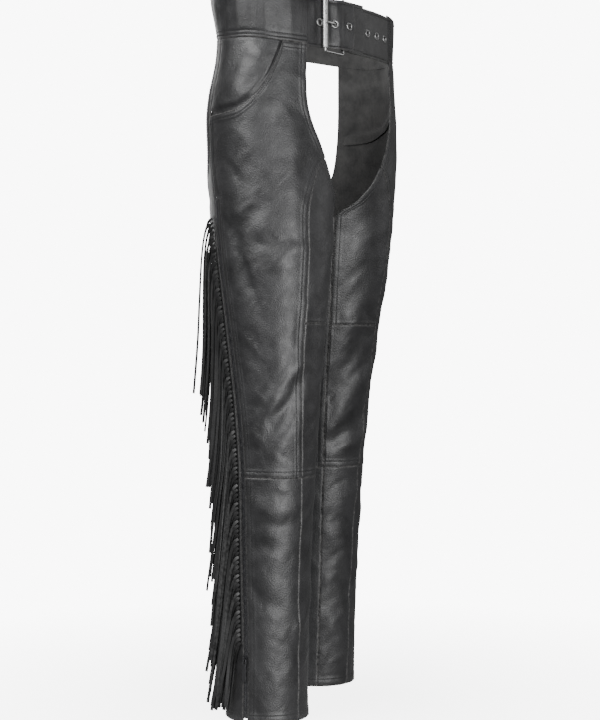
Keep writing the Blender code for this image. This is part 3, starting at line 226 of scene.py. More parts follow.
# Finer creases over the large folds; bow bends the line sideways, and its ends fade out
CREASES = {
    "columns": ("leg", "angle_a", "z_a", "angle_b", "z_b", "bow", "width", "height"),
    "rows": (
        ("right", 50, -0.128, 24, -0.160, 0.006, 0.0060, 0.0010),
        ("right", 90, -0.165, 62, -0.205, 0.008, 0.0080, 0.0012),
        ("right", 104, -0.205, 76, -0.256, 0.006, 0.0060, -0.0011),
        ("right", 50, -0.200, 38, -0.270, -0.006, 0.0090, 0.0012),
        ("right", 8, -0.150, 18, -0.235, 0.005, 0.0070, -0.0010),
        ("right", 62, -0.276, 84, -0.298, -0.005, 0.0050, 0.0014),
        ("right", 58, -0.318, 44, -0.340, 0.003, 0.0045, -0.0016),
        ("right", 44, -0.338, 24, -0.330, 0.003, 0.0050, -0.0013),
        ("right", 50, -0.372, 22, -0.362, -0.004, 0.0060, 0.0010),
        ("right", 80, -0.340, 64, -0.420, 0.005, 0.0060, 0.0013),
        ("right", 66, -0.395, 56, -0.455, -0.004, 0.0055, -0.0013),
        ("right", 20, -0.420, 26, -0.500, 0.004, 0.0070, -0.0010),
        ("right", 48, -0.460, 44, -0.530, 0.006, 0.0080, 0.0012),
        ("right", 84, -0.470, 62, -0.505, 0.004, 0.0060, 0.0011),
        ("right", 20, -0.500, 44, -0.538, 0.004, 0.0050, -0.0013),
        ("right", 30, -0.545, 58, -0.580, 0.005, 0.0060, 0.0012),
        ("right", 56, -0.540, 80, -0.590, 0.004, 0.0060, -0.0014),
        ("right", 18, -0.565, 44, -0.618, 0.005, 0.0055, -0.0013),
        ("right", 58, -0.612, 80, -0.640, -0.004, 0.0050, 0.0012),
        ("right", 28, -0.606, 14, -0.576, 0.003, 0.0050, 0.0013),
        ("right", 50, -0.630, 24, -0.660, 0.004, 0.0050, -0.0010),
        ("right", 66, -0.700, 30, -0.702, 0.006, 0.0055, -0.0013),
        ("right", 60, -0.734, 22, -0.740, -0.006, 0.0060, -0.0013),
        ("right", 42, -0.690, 14, -0.700, 0.003, 0.0050, 0.0010),
        ("right", 78, -0.760, 56, -0.752, 0.003, 0.0050, 0.0011),
        ("right", 60, -0.785, 30, -0.798, 0.005, 0.0060, 0.0010),
        ("right", 70, -0.822, 44, -0.846, -0.004, 0.0060, 0.0012),
        ("right", 62, -0.872, 30, -0.884, 0.005, 0.0055, 0.0012),
        ("right", 46, -0.905, 16, -0.930, 0.004, 0.0060, -0.0011),
        ("right", 66, -0.940, 34, -0.972, 0.006, 0.0070, 0.0010),
        ("right", -48, -0.330, -4, -0.372, 0.004, 0.0060, -0.0012),
        ("right", -40, -0.400, 2, -0.438, 0.004, 0.0060, 0.0012),
        ("right", -46, -0.500, -2, -0.545, 0.005, 0.0070, 0.0013),
        ("right", -44, -0.560, 4, -0.600, 0.005, 0.0060, -0.0012),
        ("right", -42, -0.620, 2, -0.640, 0.004, 0.0060, 0.0012),
        ("right", -44, -0.720, -4, -0.760, 0.004, 0.0060, -0.0012),
        ("right", -40, -0.800, 0, -0.832, 0.004, 0.0070, 0.0012),
        ("right", -44, -0.905, -6, -0.945, 0.004, 0.0060, 0.0011),
        ("left", 34, -0.170, 6, -0.214, 0.005, 0.0070, 0.0011),
        ("left", 30, -0.240, -6, -0.290, 0.006, 0.0080, 0.0012),
        ("left", 8, -0.300, -36, -0.346, 0.006, 0.0070, 0.0012),
        ("left", -8, -0.350, -40, -0.392, 0.005, 0.0060, -0.0012),
        ("left", -16, -0.372, -44, -0.425, 0.004, 0.0055, 0.0013),
        ("left", -10, -0.420, -36, -0.470, 0.005, 0.0055, -0.0014),
        ("left", -18, -0.462, -50, -0.524, 0.004, 0.0050, 0.0013),
        ("left", 8, -0.508, -24, -0.540, 0.005, 0.0055, -0.0014),
        ("left", -20, -0.552, -48, -0.582, 0.004, 0.0050, 0.0014),
        ("left", 12, -0.560, -30, -0.606, 0.005, 0.0060, 0.0012),
        ("left", -4, -0.600, -40, -0.620, 0.003, 0.0045, -0.0012),
        ("left", 2, -0.640, -36, -0.645, 0.003, 0.0050, 0.0012),
        ("left", -6, -0.690, -44, -0.716, 0.004, 0.0050, -0.0013),
        ("left", -4, -0.740, -46, -0.765, 0.004, 0.0055, 0.0012),
        ("left", 0, -0.800, -44, -0.832, 0.005, 0.0060, -0.0012),
        ("left", -10, -0.845, -46, -0.862, 0.004, 0.0060, 0.0012),
        ("left", 8, -0.902, -34, -0.932, 0.005, 0.0060, 0.0012),
        ("left", 2, -0.975, -42, -1.000, 0.004, 0.0070, 0.0011),
        ("left", 96, -0.180, 62, -0.225, 0.007, 0.0080, 0.0012),
        ("left", 74, -0.300, 44, -0.352, 0.005, 0.0070, -0.0012),
        ("left", 84, -0.430, 52, -0.480, 0.005, 0.0070, 0.0012),
        ("left", 74, -0.520, 40, -0.566, 0.005, 0.0060, -0.0012),
        ("left", 66, -0.640, 34, -0.622, 0.004, 0.0060, 0.0011),
        ("left", 64, -0.700, 30, -0.722, 0.004, 0.0060, -0.0012),
        ("left", 60, -0.820, 26, -0.862, 0.005, 0.0070, 0.0012),
        ("left", 56, -0.920, 24, -0.950, 0.004, 0.0060, -0.0010),
        ("right", 132, -0.110, 158, -0.150, 0.006, 0.0080, 0.0012),
        ("right", 140, -0.220, 190, -0.262, 0.008, 0.0080, 0.0013),
        ("right", 150, -0.300, 205, -0.330, 0.006, 0.0070, -0.0013),
        ("right", 140, -0.420, 200, -0.462, 0.007, 0.0080, 0.0012),
        ("right", 150, -0.520, 215, -0.548, 0.006, 0.0070, 0.0012),
        ("right", 156, -0.570, 226, -0.566, 0.005, 0.0055, -0.0015),
        ("right", 150, -0.614, 222, -0.612, 0.005, 0.0055, 0.0016),
        ("right", 160, -0.630, 216, -0.634, 0.004, 0.0050, -0.0014),
        ("right", 148, -0.700, 214, -0.722, 0.006, 0.0070, 0.0012),
        ("right", 150, -0.770, 210, -0.808, 0.006, 0.0070, -0.0012),
        ("right", 144, -0.880, 206, -0.920, 0.006, 0.0080, 0.0012),
        ("right", 262, -0.400, 296, -0.440, 0.004, 0.0070, 0.0010),
        ("right", 258, -0.560, 294, -0.600, 0.004, 0.0070, -0.0010),
        ("left", 132, -0.120, 160, -0.160, 0.006, 0.0080, 0.0012),
        ("left", 142, -0.230, 192, -0.270, 0.008, 0.0080, 0.0013),
        ("left", 148, -0.310, 204, -0.350, 0.006, 0.0070, -0.0013),
        ("left", 144, -0.430, 202, -0.470, 0.007, 0.0080, 0.0012),
        ("left", 152, -0.530, 216, -0.560, 0.006, 0.0070, 0.0012),
        ("left", 154, -0.584, 224, -0.580, 0.005, 0.0055, -0.0015),
        ("left", 150, -0.626, 220, -0.628, 0.005, 0.0055, 0.0016),
        ("left", 158, -0.648, 216, -0.650, 0.004, 0.0050, -0.0014),
        ("left", 150, -0.720, 212, -0.744, 0.006, 0.0070, 0.0012),
        ("left", 148, -0.790, 208, -0.830, 0.006, 0.0070, -0.0012),
        ("left", 146, -0.900, 204, -0.936, 0.006, 0.0080, 0.0012),
        ("left", 260, -0.420, 296, -0.470, 0.004, 0.0070, 0.0010),
    ),
}

# Soft unevenness of the hide, as waves: wavelength, direction, height and start of each
RIPPLES = {
    "columns": ("length", "direction", "height", "start"),
    "rows": (
        (0.110, 20.0, 0.00060, 0.3), (0.083, 74.0, 0.00055, 2.1), (0.064, 131.0, 0.00045, 4.4),
        (0.047, 48.0, 0.00034, 1.2), (0.039, 158.0, 0.00030, 5.0), (0.031, 96.0, 0.00024, 3.3),
        (0.023, 12.0, 0.00016, 0.9), (0.019, 118.0, 0.00013, 2.7), (0.015, 63.0, 0.00010, 5.6),
    ),
}
RIPPLE_WARP = 0.012
RIPPLE_WARP_LENGTH = 0.055

# Edges: the first columns from an edge stand close together, at its fold and its stitch rows
FOLD_STEPS = (0.0, 0.0004, 0.0011)
FOLD_DROP = 0.0009
FOLD_REACH = 0.0007
ROW_STEP = 0.0008
STITCH_GROOVE = 0.00055
STITCH_GROOVE_WIDTH = 0.0007
ALLOWANCE_RISE = 0.0007
ALLOWANCE_END = (0.0012, 0.0040)
PLAIN = ()
SINGLE = (0.0020,)
DOUBLE = (0.0018, 0.0086)
HEM_ROWS = (0.0110,)

# Thread
STITCH_PITCH = 0.0038
STITCH_LENGTH = 0.0030
THREAD_WIDTH = 0.0009
THREAD_RISE = 0.00045
THREAD_SINK = 0.0006

# Fringe
STRANDS = 96
FRINGE_TOP = -0.2915
FRINGE_BOTTOM = -0.916
FRINGE_INSET = 0.0010
FRINGE_STRIP = 0.0058
FRINGE_STRIP_WALL = 0.0014
STRAND_LENGTH = 0.265
STRAND_WIDTH = 0.0043
STRAND_THICKNESS = 0.0013
STRAND_LAYERS = 4
STRAND_LAYER_STEP = 0.0022
STRAND_CLEAR = 0.0009
STRAND_THROW = 0.0090
STRAND_THROW_DROP = 0.0120
STRAND_SLOPE = 0.155
STRAND_LIFT = 0.03
STRAND_FLOOR = -1.014
STRAND_PARTS = 34
STRAND_SWAY = 0.0026
STRAND_SPREAD = 0.040
STRAND_UNEVEN = 0.13
STRAND_TWIST = 34.0
ROOT_TWIST = 62.0
ROOT_TWIST_DROP = 0.009
ROOT_LOOP = 0.0030
TOP_FAN_STRANDS = 7.0
TOP_FAN = 0.024

# Zip
SLIDER_Z = -0.936
CHAIN_PROUD = 0.0009
CHAIN_INSIDE = 0.0014
TOOTH_PITCH = 0.0026
TOOTH_WIDTH = 0.0030
TOOTH_HEIGHT = 0.0016
TOOTH_RISE = 0.0007
SLIDER_WIDTH = 0.0070
SLIDER_HEIGHT = 0.0100
SLIDER_LIFT = 0.0012
SLIDER_WALL = 0.0022

# Buckle and eyelets
ROLLER_X = -0.070
ROLLER_OFFSET = 0.0061
ROLLER_RADIUS = 0.0040
ROLLER_BORE = 0.0022
HINGE_X = -0.030
HINGE_OFFSET = 0.0027
WIRE_RADIUS = 0.0018
FRAME_BOTTOM = -0.0490
FRAME_TOP = 0.0350
FRAME_CORNER = 0.003
BUCKLE_MID = -0.007
BUCKLE_LEVEL = -0.005
WRAP_END = 0.012
WRAP_WIDER = 0.001
STRAP_TIP = -0.010
STRAP_LIFT = 0.0073
STRAP_CLIMB = (-0.066, -0.038)
EYELET_RADIUS = 0.0062
EYELET_BORE = 0.0032
EYELET_WALL = 0.0008
EYELET_LIFT = 0.0004
HOLE_LIFT = 0.0028
RIGHT_EYELETS = (-0.024, -0.050, -0.076)
LEFT_EYELETS = (0.032, 0.058, 0.084)

# Camera and stage
CAMERA_PLACE = (-1.843, -1.538, -0.489)
CAMERA_LOOK = (0.766, 0.643, 0.0)
CAMERA_LENS = 77.55
CAMERA_SENSOR = 36.0
CAMERA_SHIFT = -0.0139
FLOOR_Z = HEM - 0.002
FLOOR_RADIUS = 2.2
FLOOR_FADE = (0.10, 0.95)
FLOOR_COVER = 0.45
SKY_SEEN = 9.0
SKY_LIGHT = 0.11


# Tables and small helpers

def column(table, name):
    return [row[table["columns"].index(name)] for row in table["rows"]]


def read(table, name, value):
    """A column of a table at values of its first column, on a smooth curve through the rows."""
    keys = np.array(column(table, table["columns"][0]), dtype=float)
    values = np.array(column(table, name), dtype=float)
    order = np.argsort(keys)
    keys, values = keys[order], values[order]
    rise = np.diff(values) / np.diff(keys)
    slope = np.concatenate((rise[:1], np.zeros(len(rise) - 1), rise[-1:]))
    turns = rise[:-1] * rise[1:] <= 0.0
    total = np.where(turns, 1.0, rise[:-1] + rise[1:])
    slope[1:-1] = np.where(turns, 0.0, 2.0 * rise[:-1] * rise[1:] / total)
    value = np.clip(np.asarray(value, dtype=float), keys[0], keys[-1])
    place = np.clip(np.searchsorted(keys, value, side="right") - 1, 0, len(rise) - 1)
    width = keys[place + 1] - keys[place]
    share = (value - keys[place]) / width
    square, cube = share ** 2, share ** 3
    start = values[place] * (2.0 * cube - 3.0 * square + 1.0)
    end = values[place + 1] * (3.0 * square - 2.0 * cube)
    leave = slope[place] * width * (cube - 2.0 * square + share)
    arrive = slope[place + 1] * width * (cube - square)
    return start + end + leave + arrive


def smooth(start, end, value):
    share = np.clip((value - start) / (end - start), 0.0, 1.0)
    return share * share * (3.0 - 2.0 * share)


def mix(a, b, share):
    return a * (1.0 - share) + b * share


def sign(side):
    return -1.0 if side == "right" else 1.0


def scatter(index):
    """An even-looking number from 0 to 1 for a strand, the same in every run."""
    value = math.sin(index * 12.9898) * 43758.5453
    return value - math.floor(value)


def unit(vectors):
    return vectors / np.linalg.norm(vectors, axis=-1, keepdims=True)


# The shape of the body of the garment

def outward(side, angle):
    turn = np.radians(np.asarray(angle, dtype=float))
    return np.stack((sign(side) * np.sin(turn), -np.cos(turn), np.zeros_like(turn)), axis=-1)


def onward(side, angle):
    turn = np.radians(np.asarray(angle, dtype=float))
    return np.stack((sign(side) * np.cos(turn), np.sin(turn), np.zeros_like(turn)), axis=-1)


def oval_distance(x, y, across, ahead, z):
    """How far level lines from a leg's centre go before they meet the hip oval."""
    half_width = read(HIP, "half_width", z)
    front = read(HIP, "front", z)
    back = read(HIP, "back", z)
    near, far = np.zeros_like(z), np.full_like(z, 0.5)
    for _ in range(32):
        middle = (near + far) / 2.0
        place_x, place_y = x + across * middle, y + ahead * middle
        before = np.abs(place_x / half_width) ** SMOOTH_POWER_FRONT
        before = before + np.abs(place_y / front) ** SMOOTH_POWER_FRONT
        behind = (place_x / half_width) ** 2 + (place_y / back) ** 2
        inside = np.where(place_y < 0.0, before, behind) < 1.0
        near, far = np.where(inside, middle, near), np.where(inside, far, middle)
    return near


def fold_sum(side, across, z):
    """The solids' folds at places given as a length round the leg and a height."""
    total = np.zeros_like(z)
    for leg, angle_a, z_a, angle_b, z_b, width, height in FOLDS["rows"]:
        if leg != side:
            continue
        start = math.radians(angle_a) * FOLD_RADIUS
        run, fall = math.radians(angle_b) * FOLD_RADIUS - start, z_b - z_a
        share = ((across - start) * run + (z - z_a) * fall) / (run * run + fall * fall)
        share = np.clip(share, 0.0, 1.0)
        away = np.hypot(across - start - run * share, z - z_a - fall * share)
        total = total + height * np.exp(-(away / width) ** 2)
    return total


def crease_sum(side, across, z):
    """The finer creases: each fades out at its ends and bows to one side."""
    total = np.zeros_like(z)
    for leg, angle_a, z_a, angle_b, z_b, bow, width, height in CREASES["rows"]:
        if leg != side:
            continue
        start = math.radians(angle_a) * FOLD_RADIUS
        run, fall = math.radians(angle_b) * FOLD_RADIUS - start, z_b - z_a
        length = math.hypot(run, fall)
        share = ((across - start) * run + (z - z_a) * fall) / (length * length)
        away = ((across - start) * fall - (z - z_a) * run) / length
        away = away - bow * 4.0 * share * (1.0 - share)
        fade = smooth(-0.15, 0.35, share) * smooth(1.15, 0.65, share)
        total = total + height * fade * np.exp(-(away / width) ** 2)
    return total


def ripple_sum(side, across, z):
    """Low waves in many directions, bent by two slower ones, so that no surface is quite even."""
    shift = 0.37 if side == "left" else 0.0
    slow = 2.0 * math.pi / RIPPLE_WARP_LENGTH
    warped = across + shift + RIPPLE_WARP * np.sin(z * slow + across * slow * 0.4)
    height = z + RIPPLE_WARP * np.sin(across * slow * 0.8 + 1.7)
    total = np.zeros_like(z)
    for length, direction, rise, start in RIPPLES["rows"]:
        turn = math.radians(direction)
        phase = (warped * math.cos(turn) + height * math.sin(turn)) * 2.0 * math.pi / length
        total = total + rise * np.sin(phase + start)
    return total


def relief(side, angle, z):
    """Folds, creases and waves at a place, calmed beside the zip so that it runs flat."""
    across = np.radians(angle) * FOLD_RADIUS
    total = FOLD_SHARE * fold_sum(side, across, z) + CREASE_SHARE * crease_sum(side, across, z)
    total = total + RIPPLE_SHARE * ripple_sum(side, across, z)
    middle = read(EDGES, "side_seam", z) + ZIP_CALM_MIDDLE
    from_zip = np.radians(np.abs(angle - middle)) * FOLD_RADIUS
    return total * smooth(ZIP_CALM / 2.0, ZIP_CALM * 1.5, from_zip)


def body_point(side, angle, z, offset=0.0):
    """Points on the outside of the leather, or offset from it along the level radius."""
    angle, z = np.broadcast_arrays(np.asarray(angle, dtype=float), np.asarray(z, dtype=float))
    x, y = read(LEG, side + "_x", z), read(LEG, side + "_y", z)
    direction = outward(side, angle)
    across, ahead = direction[..., 0], direction[..., 1]
    leg = 1.0 / np.hypot(across / read(LEG, "half_width", z), ahead / read(LEG, "half_depth", z))
    hip = np.minimum(oval_distance(x, y, across, ahead, z), leg + SEAT_LIMIT)
    radius = mix(hip, leg, smooth(HIP_BLEND[0], HIP_BLEND[1], z)) + relief(side, angle, z)
    toward_middle = -across * sign(side)
    limit = (np.abs(x) - MIDDLE_CLEAR) / np.maximum(toward_middle, MIDDLE_FACING)
    radius = np.where(toward_middle > MIDDLE_FACING, np.minimum(radius, limit), radius)
    reach = radius + offset
    return np.stack((x + across * reach, y + ahead * reach, z), axis=-1)


def band_rise(y):
    """How much higher the waistband stands towards the back."""
    return BAND_BACK_RISE * (np.sqrt(y * y + BAND_RISE_BLEND ** 2) + y) / 2.0


def band_bottom(y):
    """The waistband's lower edge: it dips towards the buckle and rises towards the back."""
    return BAND_BOTTOM - BAND_FRONT_DIP * smooth(-0.02, -0.095, y) + band_rise(y)


def band_top(y):
    return BAND_TOP + band_rise(y)


def gap_angle(z, width):
    return np.degrees(width / read(LEG, "half_width", z))


def opening(z):
    return read(EDGES, "opening", z)


def front_seam(z):
    return read(EDGES, "front_seam", z)


def front_edge(z):
    """The outer front's first edge: the opening above, the front seam below."""
    return np.maximum(opening(z), front_seam(z))


def side_seam(z):
    return read(EDGES, "side_seam", z)


def back_edge(z):
    """The back panel's far edge: the open seat's cut edge above, the inseam below."""
    return np.where(z > SEAT_END, read(SEAT, "angle", z), opening(z) + INSEAM_TURN)


def back_start(z):
    """The front edge of the back panel: the side seam, or behind the zip below its mouth."""
    opened = np.clip((ZIP_MOUTH - z) / (ZIP_MOUTH - ZIP_TOP), 0.0, 1.0)
    return side_seam(z) + gap_angle(z, CHAIN_WIDTH + SEAM_GAP) * opened


def strip_end(z):
    return back_start(z) + gap_angle(z, SIDE_STRIP)


# Meshes

def add_mesh(name, points, faces, material, sharp=45.0):
    mesh = bpy.data.meshes.new(name)
    mesh.from_pydata([tuple(point) for point in points], [], faces)
    work = bmesh.new()
    work.from_mesh(mesh)
    bmesh.ops.recalc_face_normals(work, faces=work.faces)
    work.to_mesh(mesh)
    work.free()
    mesh.shade_smooth()
    mesh.set_sharp_from_angle(angle=math.radians(sharp))
    mesh.materials.append(material)
    made = bpy.data.objects.new(name, mesh)
    bpy.context.scene.collection.objects.link(made)
    return made


def wall_faces(rows, columns):
    """Faces of a closed wall: two grids of points, the outer first, joined round the rim."""
    inner = rows * columns
    corner = (np.arange(rows - 1)[:, None] * columns + np.arange(columns - 1)[None, :]).ravel()
    quad = np.stack((corner, corner + 1, corner + columns + 1, corner + columns), axis=1)
    faces = [tuple(face) for face in quad.tolist()]
    faces += [tuple(face) for face in (quad[:, ::-1] + inner).tolist()]
    rim = list(range(columns))
    rim += [row * columns + columns - 1 for row in range(1, rows)]
    rim += [(rows - 1) * columns + place for place in range(columns - 2, -1, -1)]
    rim += [row * columns for row in range(rows - 2, 0, -1)]
    for here, there in zip(rim, rim[1:] + rim[:1]):
        faces.append((there, here, inner + here, inner + there))
    return faces


def wall_mesh(name, outer, inner, material, wear_and_highlight=None, lining=None):
    """A wall between two grids of points; the edge mask gives where the material paints the edges paler,
    as rubbed wear and a painted highlight.

    lining is the material of the inner faces, where it differs from the outer ones.
    """
    rows, columns = outer.shape[:2]
    points = np.concatenate((outer.reshape(-1, 3), inner.reshape(-1, 3)))
    made = add_mesh(name, points, wall_faces(rows, columns), material, 60.0)
    if lining is not None:
        made.data.materials.append(lining)
        quads = (rows - 1) * (columns - 1)
        for face in made.data.polygons[quads:2 * quads]:
            face.material_index = 1
    if wear_and_highlight is not None:
        mark = made.data.attributes.new("wear_and_highlight", "FLOAT", "POINT")
        mark.data.foreach_set("value", np.concatenate((wear_and_highlight.ravel(), np.zeros(wear_and_highlight.size))))
    return made


def declare(piece, nodes=(), body=BODY):
    """Parents the piece to its body's empty and hides the solids that it stands for."""
    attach(piece, body)
    if nodes:
        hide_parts(*nodes)
    return piece


# Materials

def new_material(name):
    made = bpy.data.materials.new(name)
    made.use_nodes = True
    return made, made.node_tree.nodes, made.node_tree.links


def noise_node(nodes, links, coordinates, scale, detail, roughness=0.5, distortion=0.0):
    made = nodes.new("ShaderNodeTexNoise")
    made.inputs["Scale"].default_value = scale
    made.inputs["Detail"].default_value = detail
    made.inputs["Roughness"].default_value = roughness
    made.inputs["Distortion"].default_value = distortion
    links.new(coordinates, made.inputs["Vector"])
    return made.outputs["Fac"]


def range_node(nodes, links, value, low, high, from_low=0.0, from_high=1.0):
    made = nodes.new("ShaderNodeMapRange")
    made.inputs["From Min"].default_value = from_low
    made.inputs["From Max"].default_value = from_high
    made.inputs["To Min"].default_value = low
    made.inputs["To Max"].default_value = high
    links.new(value, made.inputs["Value"])
    return made.outputs["Result"]


def math_node(nodes, links, operation, first, second):
    made = nodes.new("ShaderNodeMath")
    made.operation = operation
    for place, value in enumerate((first, second)):
        if isinstance(value, float):
            made.inputs[place].default_value = value
        else:
            links.new(value, made.inputs[place])
    return made.outputs["Value"]


def blend_node(nodes, links, share, first, second):
    made = nodes.new("ShaderNodeMix")
    made.data_type = "RGBA"
    links.new(share, made.inputs["Factor"])
    for socket, value in zip(made.inputs[6:8], (first, second)):
        if isinstance(value, tuple):
            socket.default_value = (*value, 1.0)
        else:
            links.new(value, socket)
    return made.outputs[2]


def bump_node(nodes, links, height, distance, normal=None):
    made = nodes.new("ShaderNodeBump")
    made.inputs["Distance"].default_value = distance
    links.new(height, made.inputs["Height"])
    if normal is not None:
        links.new(normal, made.inputs["Normal"])
    return made.outputs["Normal"]


# The third colour of each look is painted where the edge mask is high: rubbed wear together with a painted
# highlight along the leather's edges.
LEATHER = {
    "dark": (0.0070, 0.0070, 0.0076), "light": (0.0180, 0.0180, 0.0190), "worn": (0.055, 0.053, 0.052),
    "rough": (0.40, 0.52), "grain_scale": 620.0, "grain": 0.00020, "crumple": 0.00030, "sheen": 0.03,
}
FRINGE_LEATHER = {
    "dark": (0.0030, 0.0030, 0.0032), "light": (0.0090, 0.0090, 0.0094), "worn": (0.030, 0.030, 0.030),
    "rough": (0.48, 0.62), "grain_scale": 700.0, "grain": 0.00012, "crumple": 0.00020, "sheen": 0.04,
}
STRAP_LEATHER = {
    "dark": (0.0060, 0.0060, 0.0062), "light": (0.0130, 0.0130, 0.0135), "worn": (0.040, 0.039, 0.038),
    "rough": (0.44, 0.56), "grain_scale": 760.0, "grain": 0.00010, "crumple": 0.00022, "sheen": 0.10,
}


def leather_material(name, look):
    """Grained black hide: cells of grain, fine crumples, uneven dye, and edges painted paler as rubbed
    wear and a painted highlight.
    """
    made, nodes, links = new_material(name)
    shader = nodes["Principled BSDF"]
    place = nodes.new("ShaderNodeTexCoord").outputs["Object"]
    blotch = noise_node(nodes, links, place, 26.0, 4.0, 0.55)
    colour = blend_node(nodes, links, range_node(nodes, links, blotch, 0.0, 1.0, 0.35, 0.68),
                        look["dark"], look["light"])
    # The edges are painted paler: partly rubbed wear, partly a painted highlight where an edge would catch
    # the light.
    edge = nodes.new("ShaderNodeAttribute")
    edge.attribute_name = "wear_and_highlight"
    edge_patches = noise_node(nodes, links, place, 210.0, 3.0)
    worn = math_node(nodes, links, "MULTIPLY", edge.outputs["Fac"],
                     range_node(nodes, links, edge_patches, 0.0, 1.0, 0.38, 0.62))
    colour = blend_node(nodes, links, worn, colour, look["worn"])
    links.new(colour, shader.inputs["Base Color"])
    patch = noise_node(nodes, links, place, 75.0, 5.0, 0.6)
    links.new(range_node(nodes, links, patch, *look["rough"], 0.3, 0.7), shader.inputs["Roughness"])
    cells = nodes.new("ShaderNodeTexVoronoi")
    cells.inputs["Scale"].default_value = look["grain_scale"]
    links.new(place, cells.inputs["Vector"])
    crumple = noise_node(nodes, links, place, 130.0, 6.0, 0.62, 0.8)
    normal = bump_node(nodes, links, crumple, look["crumple"])
    normal = bump_node(nodes, links, cells.outputs["Distance"], look["grain"], normal)
    links.new(normal, shader.inputs["Normal"])
    shader.inputs["Specular IOR Level"].default_value = 0.5
    shader.inputs["Sheen Weight"].default_value = look["sheen"]
    shader.inputs["Sheen Roughness"].default_value = 0.45
    return made


def suede_material(name, dark, light):
    """The flesh side of the hide: a matt short nap in uneven charcoal."""
    made, nodes, links = new_material(name)
    shader = nodes["Principled BSDF"]
    place = nodes.new("ShaderNodeTexCoord").outputs["Object"]
    cloud = noise_node(nodes, links, place, 42.0, 6.0, 0.62)
    colour = blend_node(nodes, links, range_node(nodes, links, cloud, 0.0, 1.0, 0.32, 0.70), dark, light)
    links.new(colour, shader.inputs["Base Color"])
    nap = noise_node(nodes, links, place, 1500.0, 3.0, 0.7)
    links.new(bump_node(nodes, links, nap, 0.00025), shader.inputs["Normal"])
    shader.inputs["Roughness"].default_value = 0.92
    shader.inputs["Specular IOR Level"].default_value = 0.2
    shader.inputs["Sheen Weight"].default_value = 0.25
    shader.inputs["Sheen Roughness"].default_value = 0.5
    return made


def metal_material(name, colour, rough, scratch=0.00004):
    """Plated metal with faint brushed scratches and uneven polish."""
    made, nodes, links = new_material(name)
    shader = nodes["Principled BSDF"]
    shader.inputs["Base Color"].default_value = (*colour, 1.0)
    shader.inputs["Metallic"].default_value = 1.0
    place = nodes.new("ShaderNodeTexCoord").outputs["Object"]
    polish = noise_node(nodes, links, place, 160.0, 4.0)
    links.new(range_node(nodes, links, polish, *rough, 0.3, 0.7), shader.inputs["Roughness"])
    stretch = nodes.new("ShaderNodeMapping")
    stretch.inputs["Scale"].default_value = (1.0, 1.0, 0.06)
    links.new(place, stretch.inputs["Vector"])
    lines = noise_node(nodes, links, stretch.outputs["Vector"], 2600.0, 3.0)
    links.new(bump_node(nodes, links, lines, scratch), shader.inputs["Normal"])
    return made


def woven_material(name, colour, rough, ribs, depth):
    """Twisted thread or woven tape: fine ribs across the run."""
    made, nodes, links = new_material(name)
    shader = nodes["Principled BSDF"]
    place = nodes.new("ShaderNodeTexCoord").outputs["Object"]
    wave = nodes.new("ShaderNodeTexWave")
    wave.bands_direction = "DIAGONAL"
    wave.inputs["Scale"].default_value = ribs
    wave.inputs["Distortion"].default_value = 0.6
    links.new(place, wave.inputs["Vector"])
    pale = tuple(share * 1.9 for share in colour)
    links.new(blend_node(nodes, links, wave.outputs["Fac"], colour, pale), shader.inputs["Base Color"])
    links.new(bump_node(nodes, links, wave.outputs["Fac"], depth), shader.inputs["Normal"])
    shader.inputs["Roughness"].default_value = rough
    return made


leather = leather_material("black_leather", LEATHER)
fringe_leather = leather_material("fringe_leather_look", FRINGE_LEATHER)
strap_leather = leather_material("strap_leather_look", STRAP_LEATHER)
flesh_side = suede_material("flesh_side", (0.028, 0.028, 0.028), (0.058, 0.057, 0.056))
steel = metal_material("plated_steel", (0.42, 0.42, 0.42), (0.24, 0.38), 0.00001)
eyelet_steel = metal_material("eyelet_plate", (0.24, 0.24, 0.24), (0.30, 0.44), 0.00001)
zip_metal = metal_material("dark_nickel", (0.09, 0.09, 0.095), (0.34, 0.50))
thread = woven_material("black_thread", (0.009, 0.009, 0.0095), 0.60, 900.0, 0.00010)
tape = woven_material("zip_tape", (0.010, 0.010, 0.011), 0.75, 700.0, 0.00012)


# Leg panels

def edge_steps(rows):
    """Distances from an edge at which a panel has columns of points of their own."""
    steps = list(FOLD_STEPS)
    for row in rows:
        steps += [row - ROW_STEP, row, row + ROW_STEP]
    steps += [max(steps) + 0.0012, max(steps) + 0.0028]
    return sorted(step for step in set(steps) if step == 0.0 or step > 0.0002)


def edge_profile(distance, rows):
    """How far the leather stands out or dips at a distance from an edge."""
    total = -FOLD_DROP * np.exp(-(distance / FOLD_REACH) ** 2)
    for row in rows:
        total = total - STITCH_GROOVE * np.exp(-((distance - row) / STITCH_GROOVE_WIDTH) ** 2)
    if rows:
        end = max(rows)
        total = total + ALLOWANCE_RISE * (
            1.0 - smooth(end + ALLOWANCE_END[0], end + ALLOWANCE_END[1], distance))
    return total


def line_places(length, first_rows, last_rows):
    """Places along a line: steps from its start, even shares between, steps from its end."""
    first, last = edge_steps(first_rows), edge_steps(last_rows)
    count = max(int(math.ceil((length - first[-1] - last[-1]) / GRID)), 2)
    even = [place / count for place in range(1, count)]
    return first, even, last


def spread(start, end, places, stretch=1.0):
    """Values along the last axis from start to end at the given places, in the units of both.

    stretch widens the steps beside the end, for an edge that runs on a slant.
    """
    first, even, last = places
    room = np.abs(end - start)
    squeeze = np.minimum(1.0, 0.45 * room / max(first[-1], last[-1]))
    far_squeeze = np.minimum(stretch, 0.45 * room / last[-1])
    way = np.sign(end - start)
    near = [start + way * step * squeeze for step in first]
    far = [end - way * step * far_squeeze for step in last]
    middle = [mix(near[-1], far[-1], share) for share in even]
    return np.stack(near + middle + far[::-1], axis=-1)


def edge_slant(side, angle_to, z):
    """How much longer a level step to an edge is than the shortest one, where the edge slants."""
    step = 0.0005
    scale = np.radians(1.0) * read(LEG, "half_width", z)
    run = (angle_to(z - step) - angle_to(z + step)) * scale / (2.0 * step)
    return np.minimum(np.hypot(1.0, run), EDGE_STRETCH)


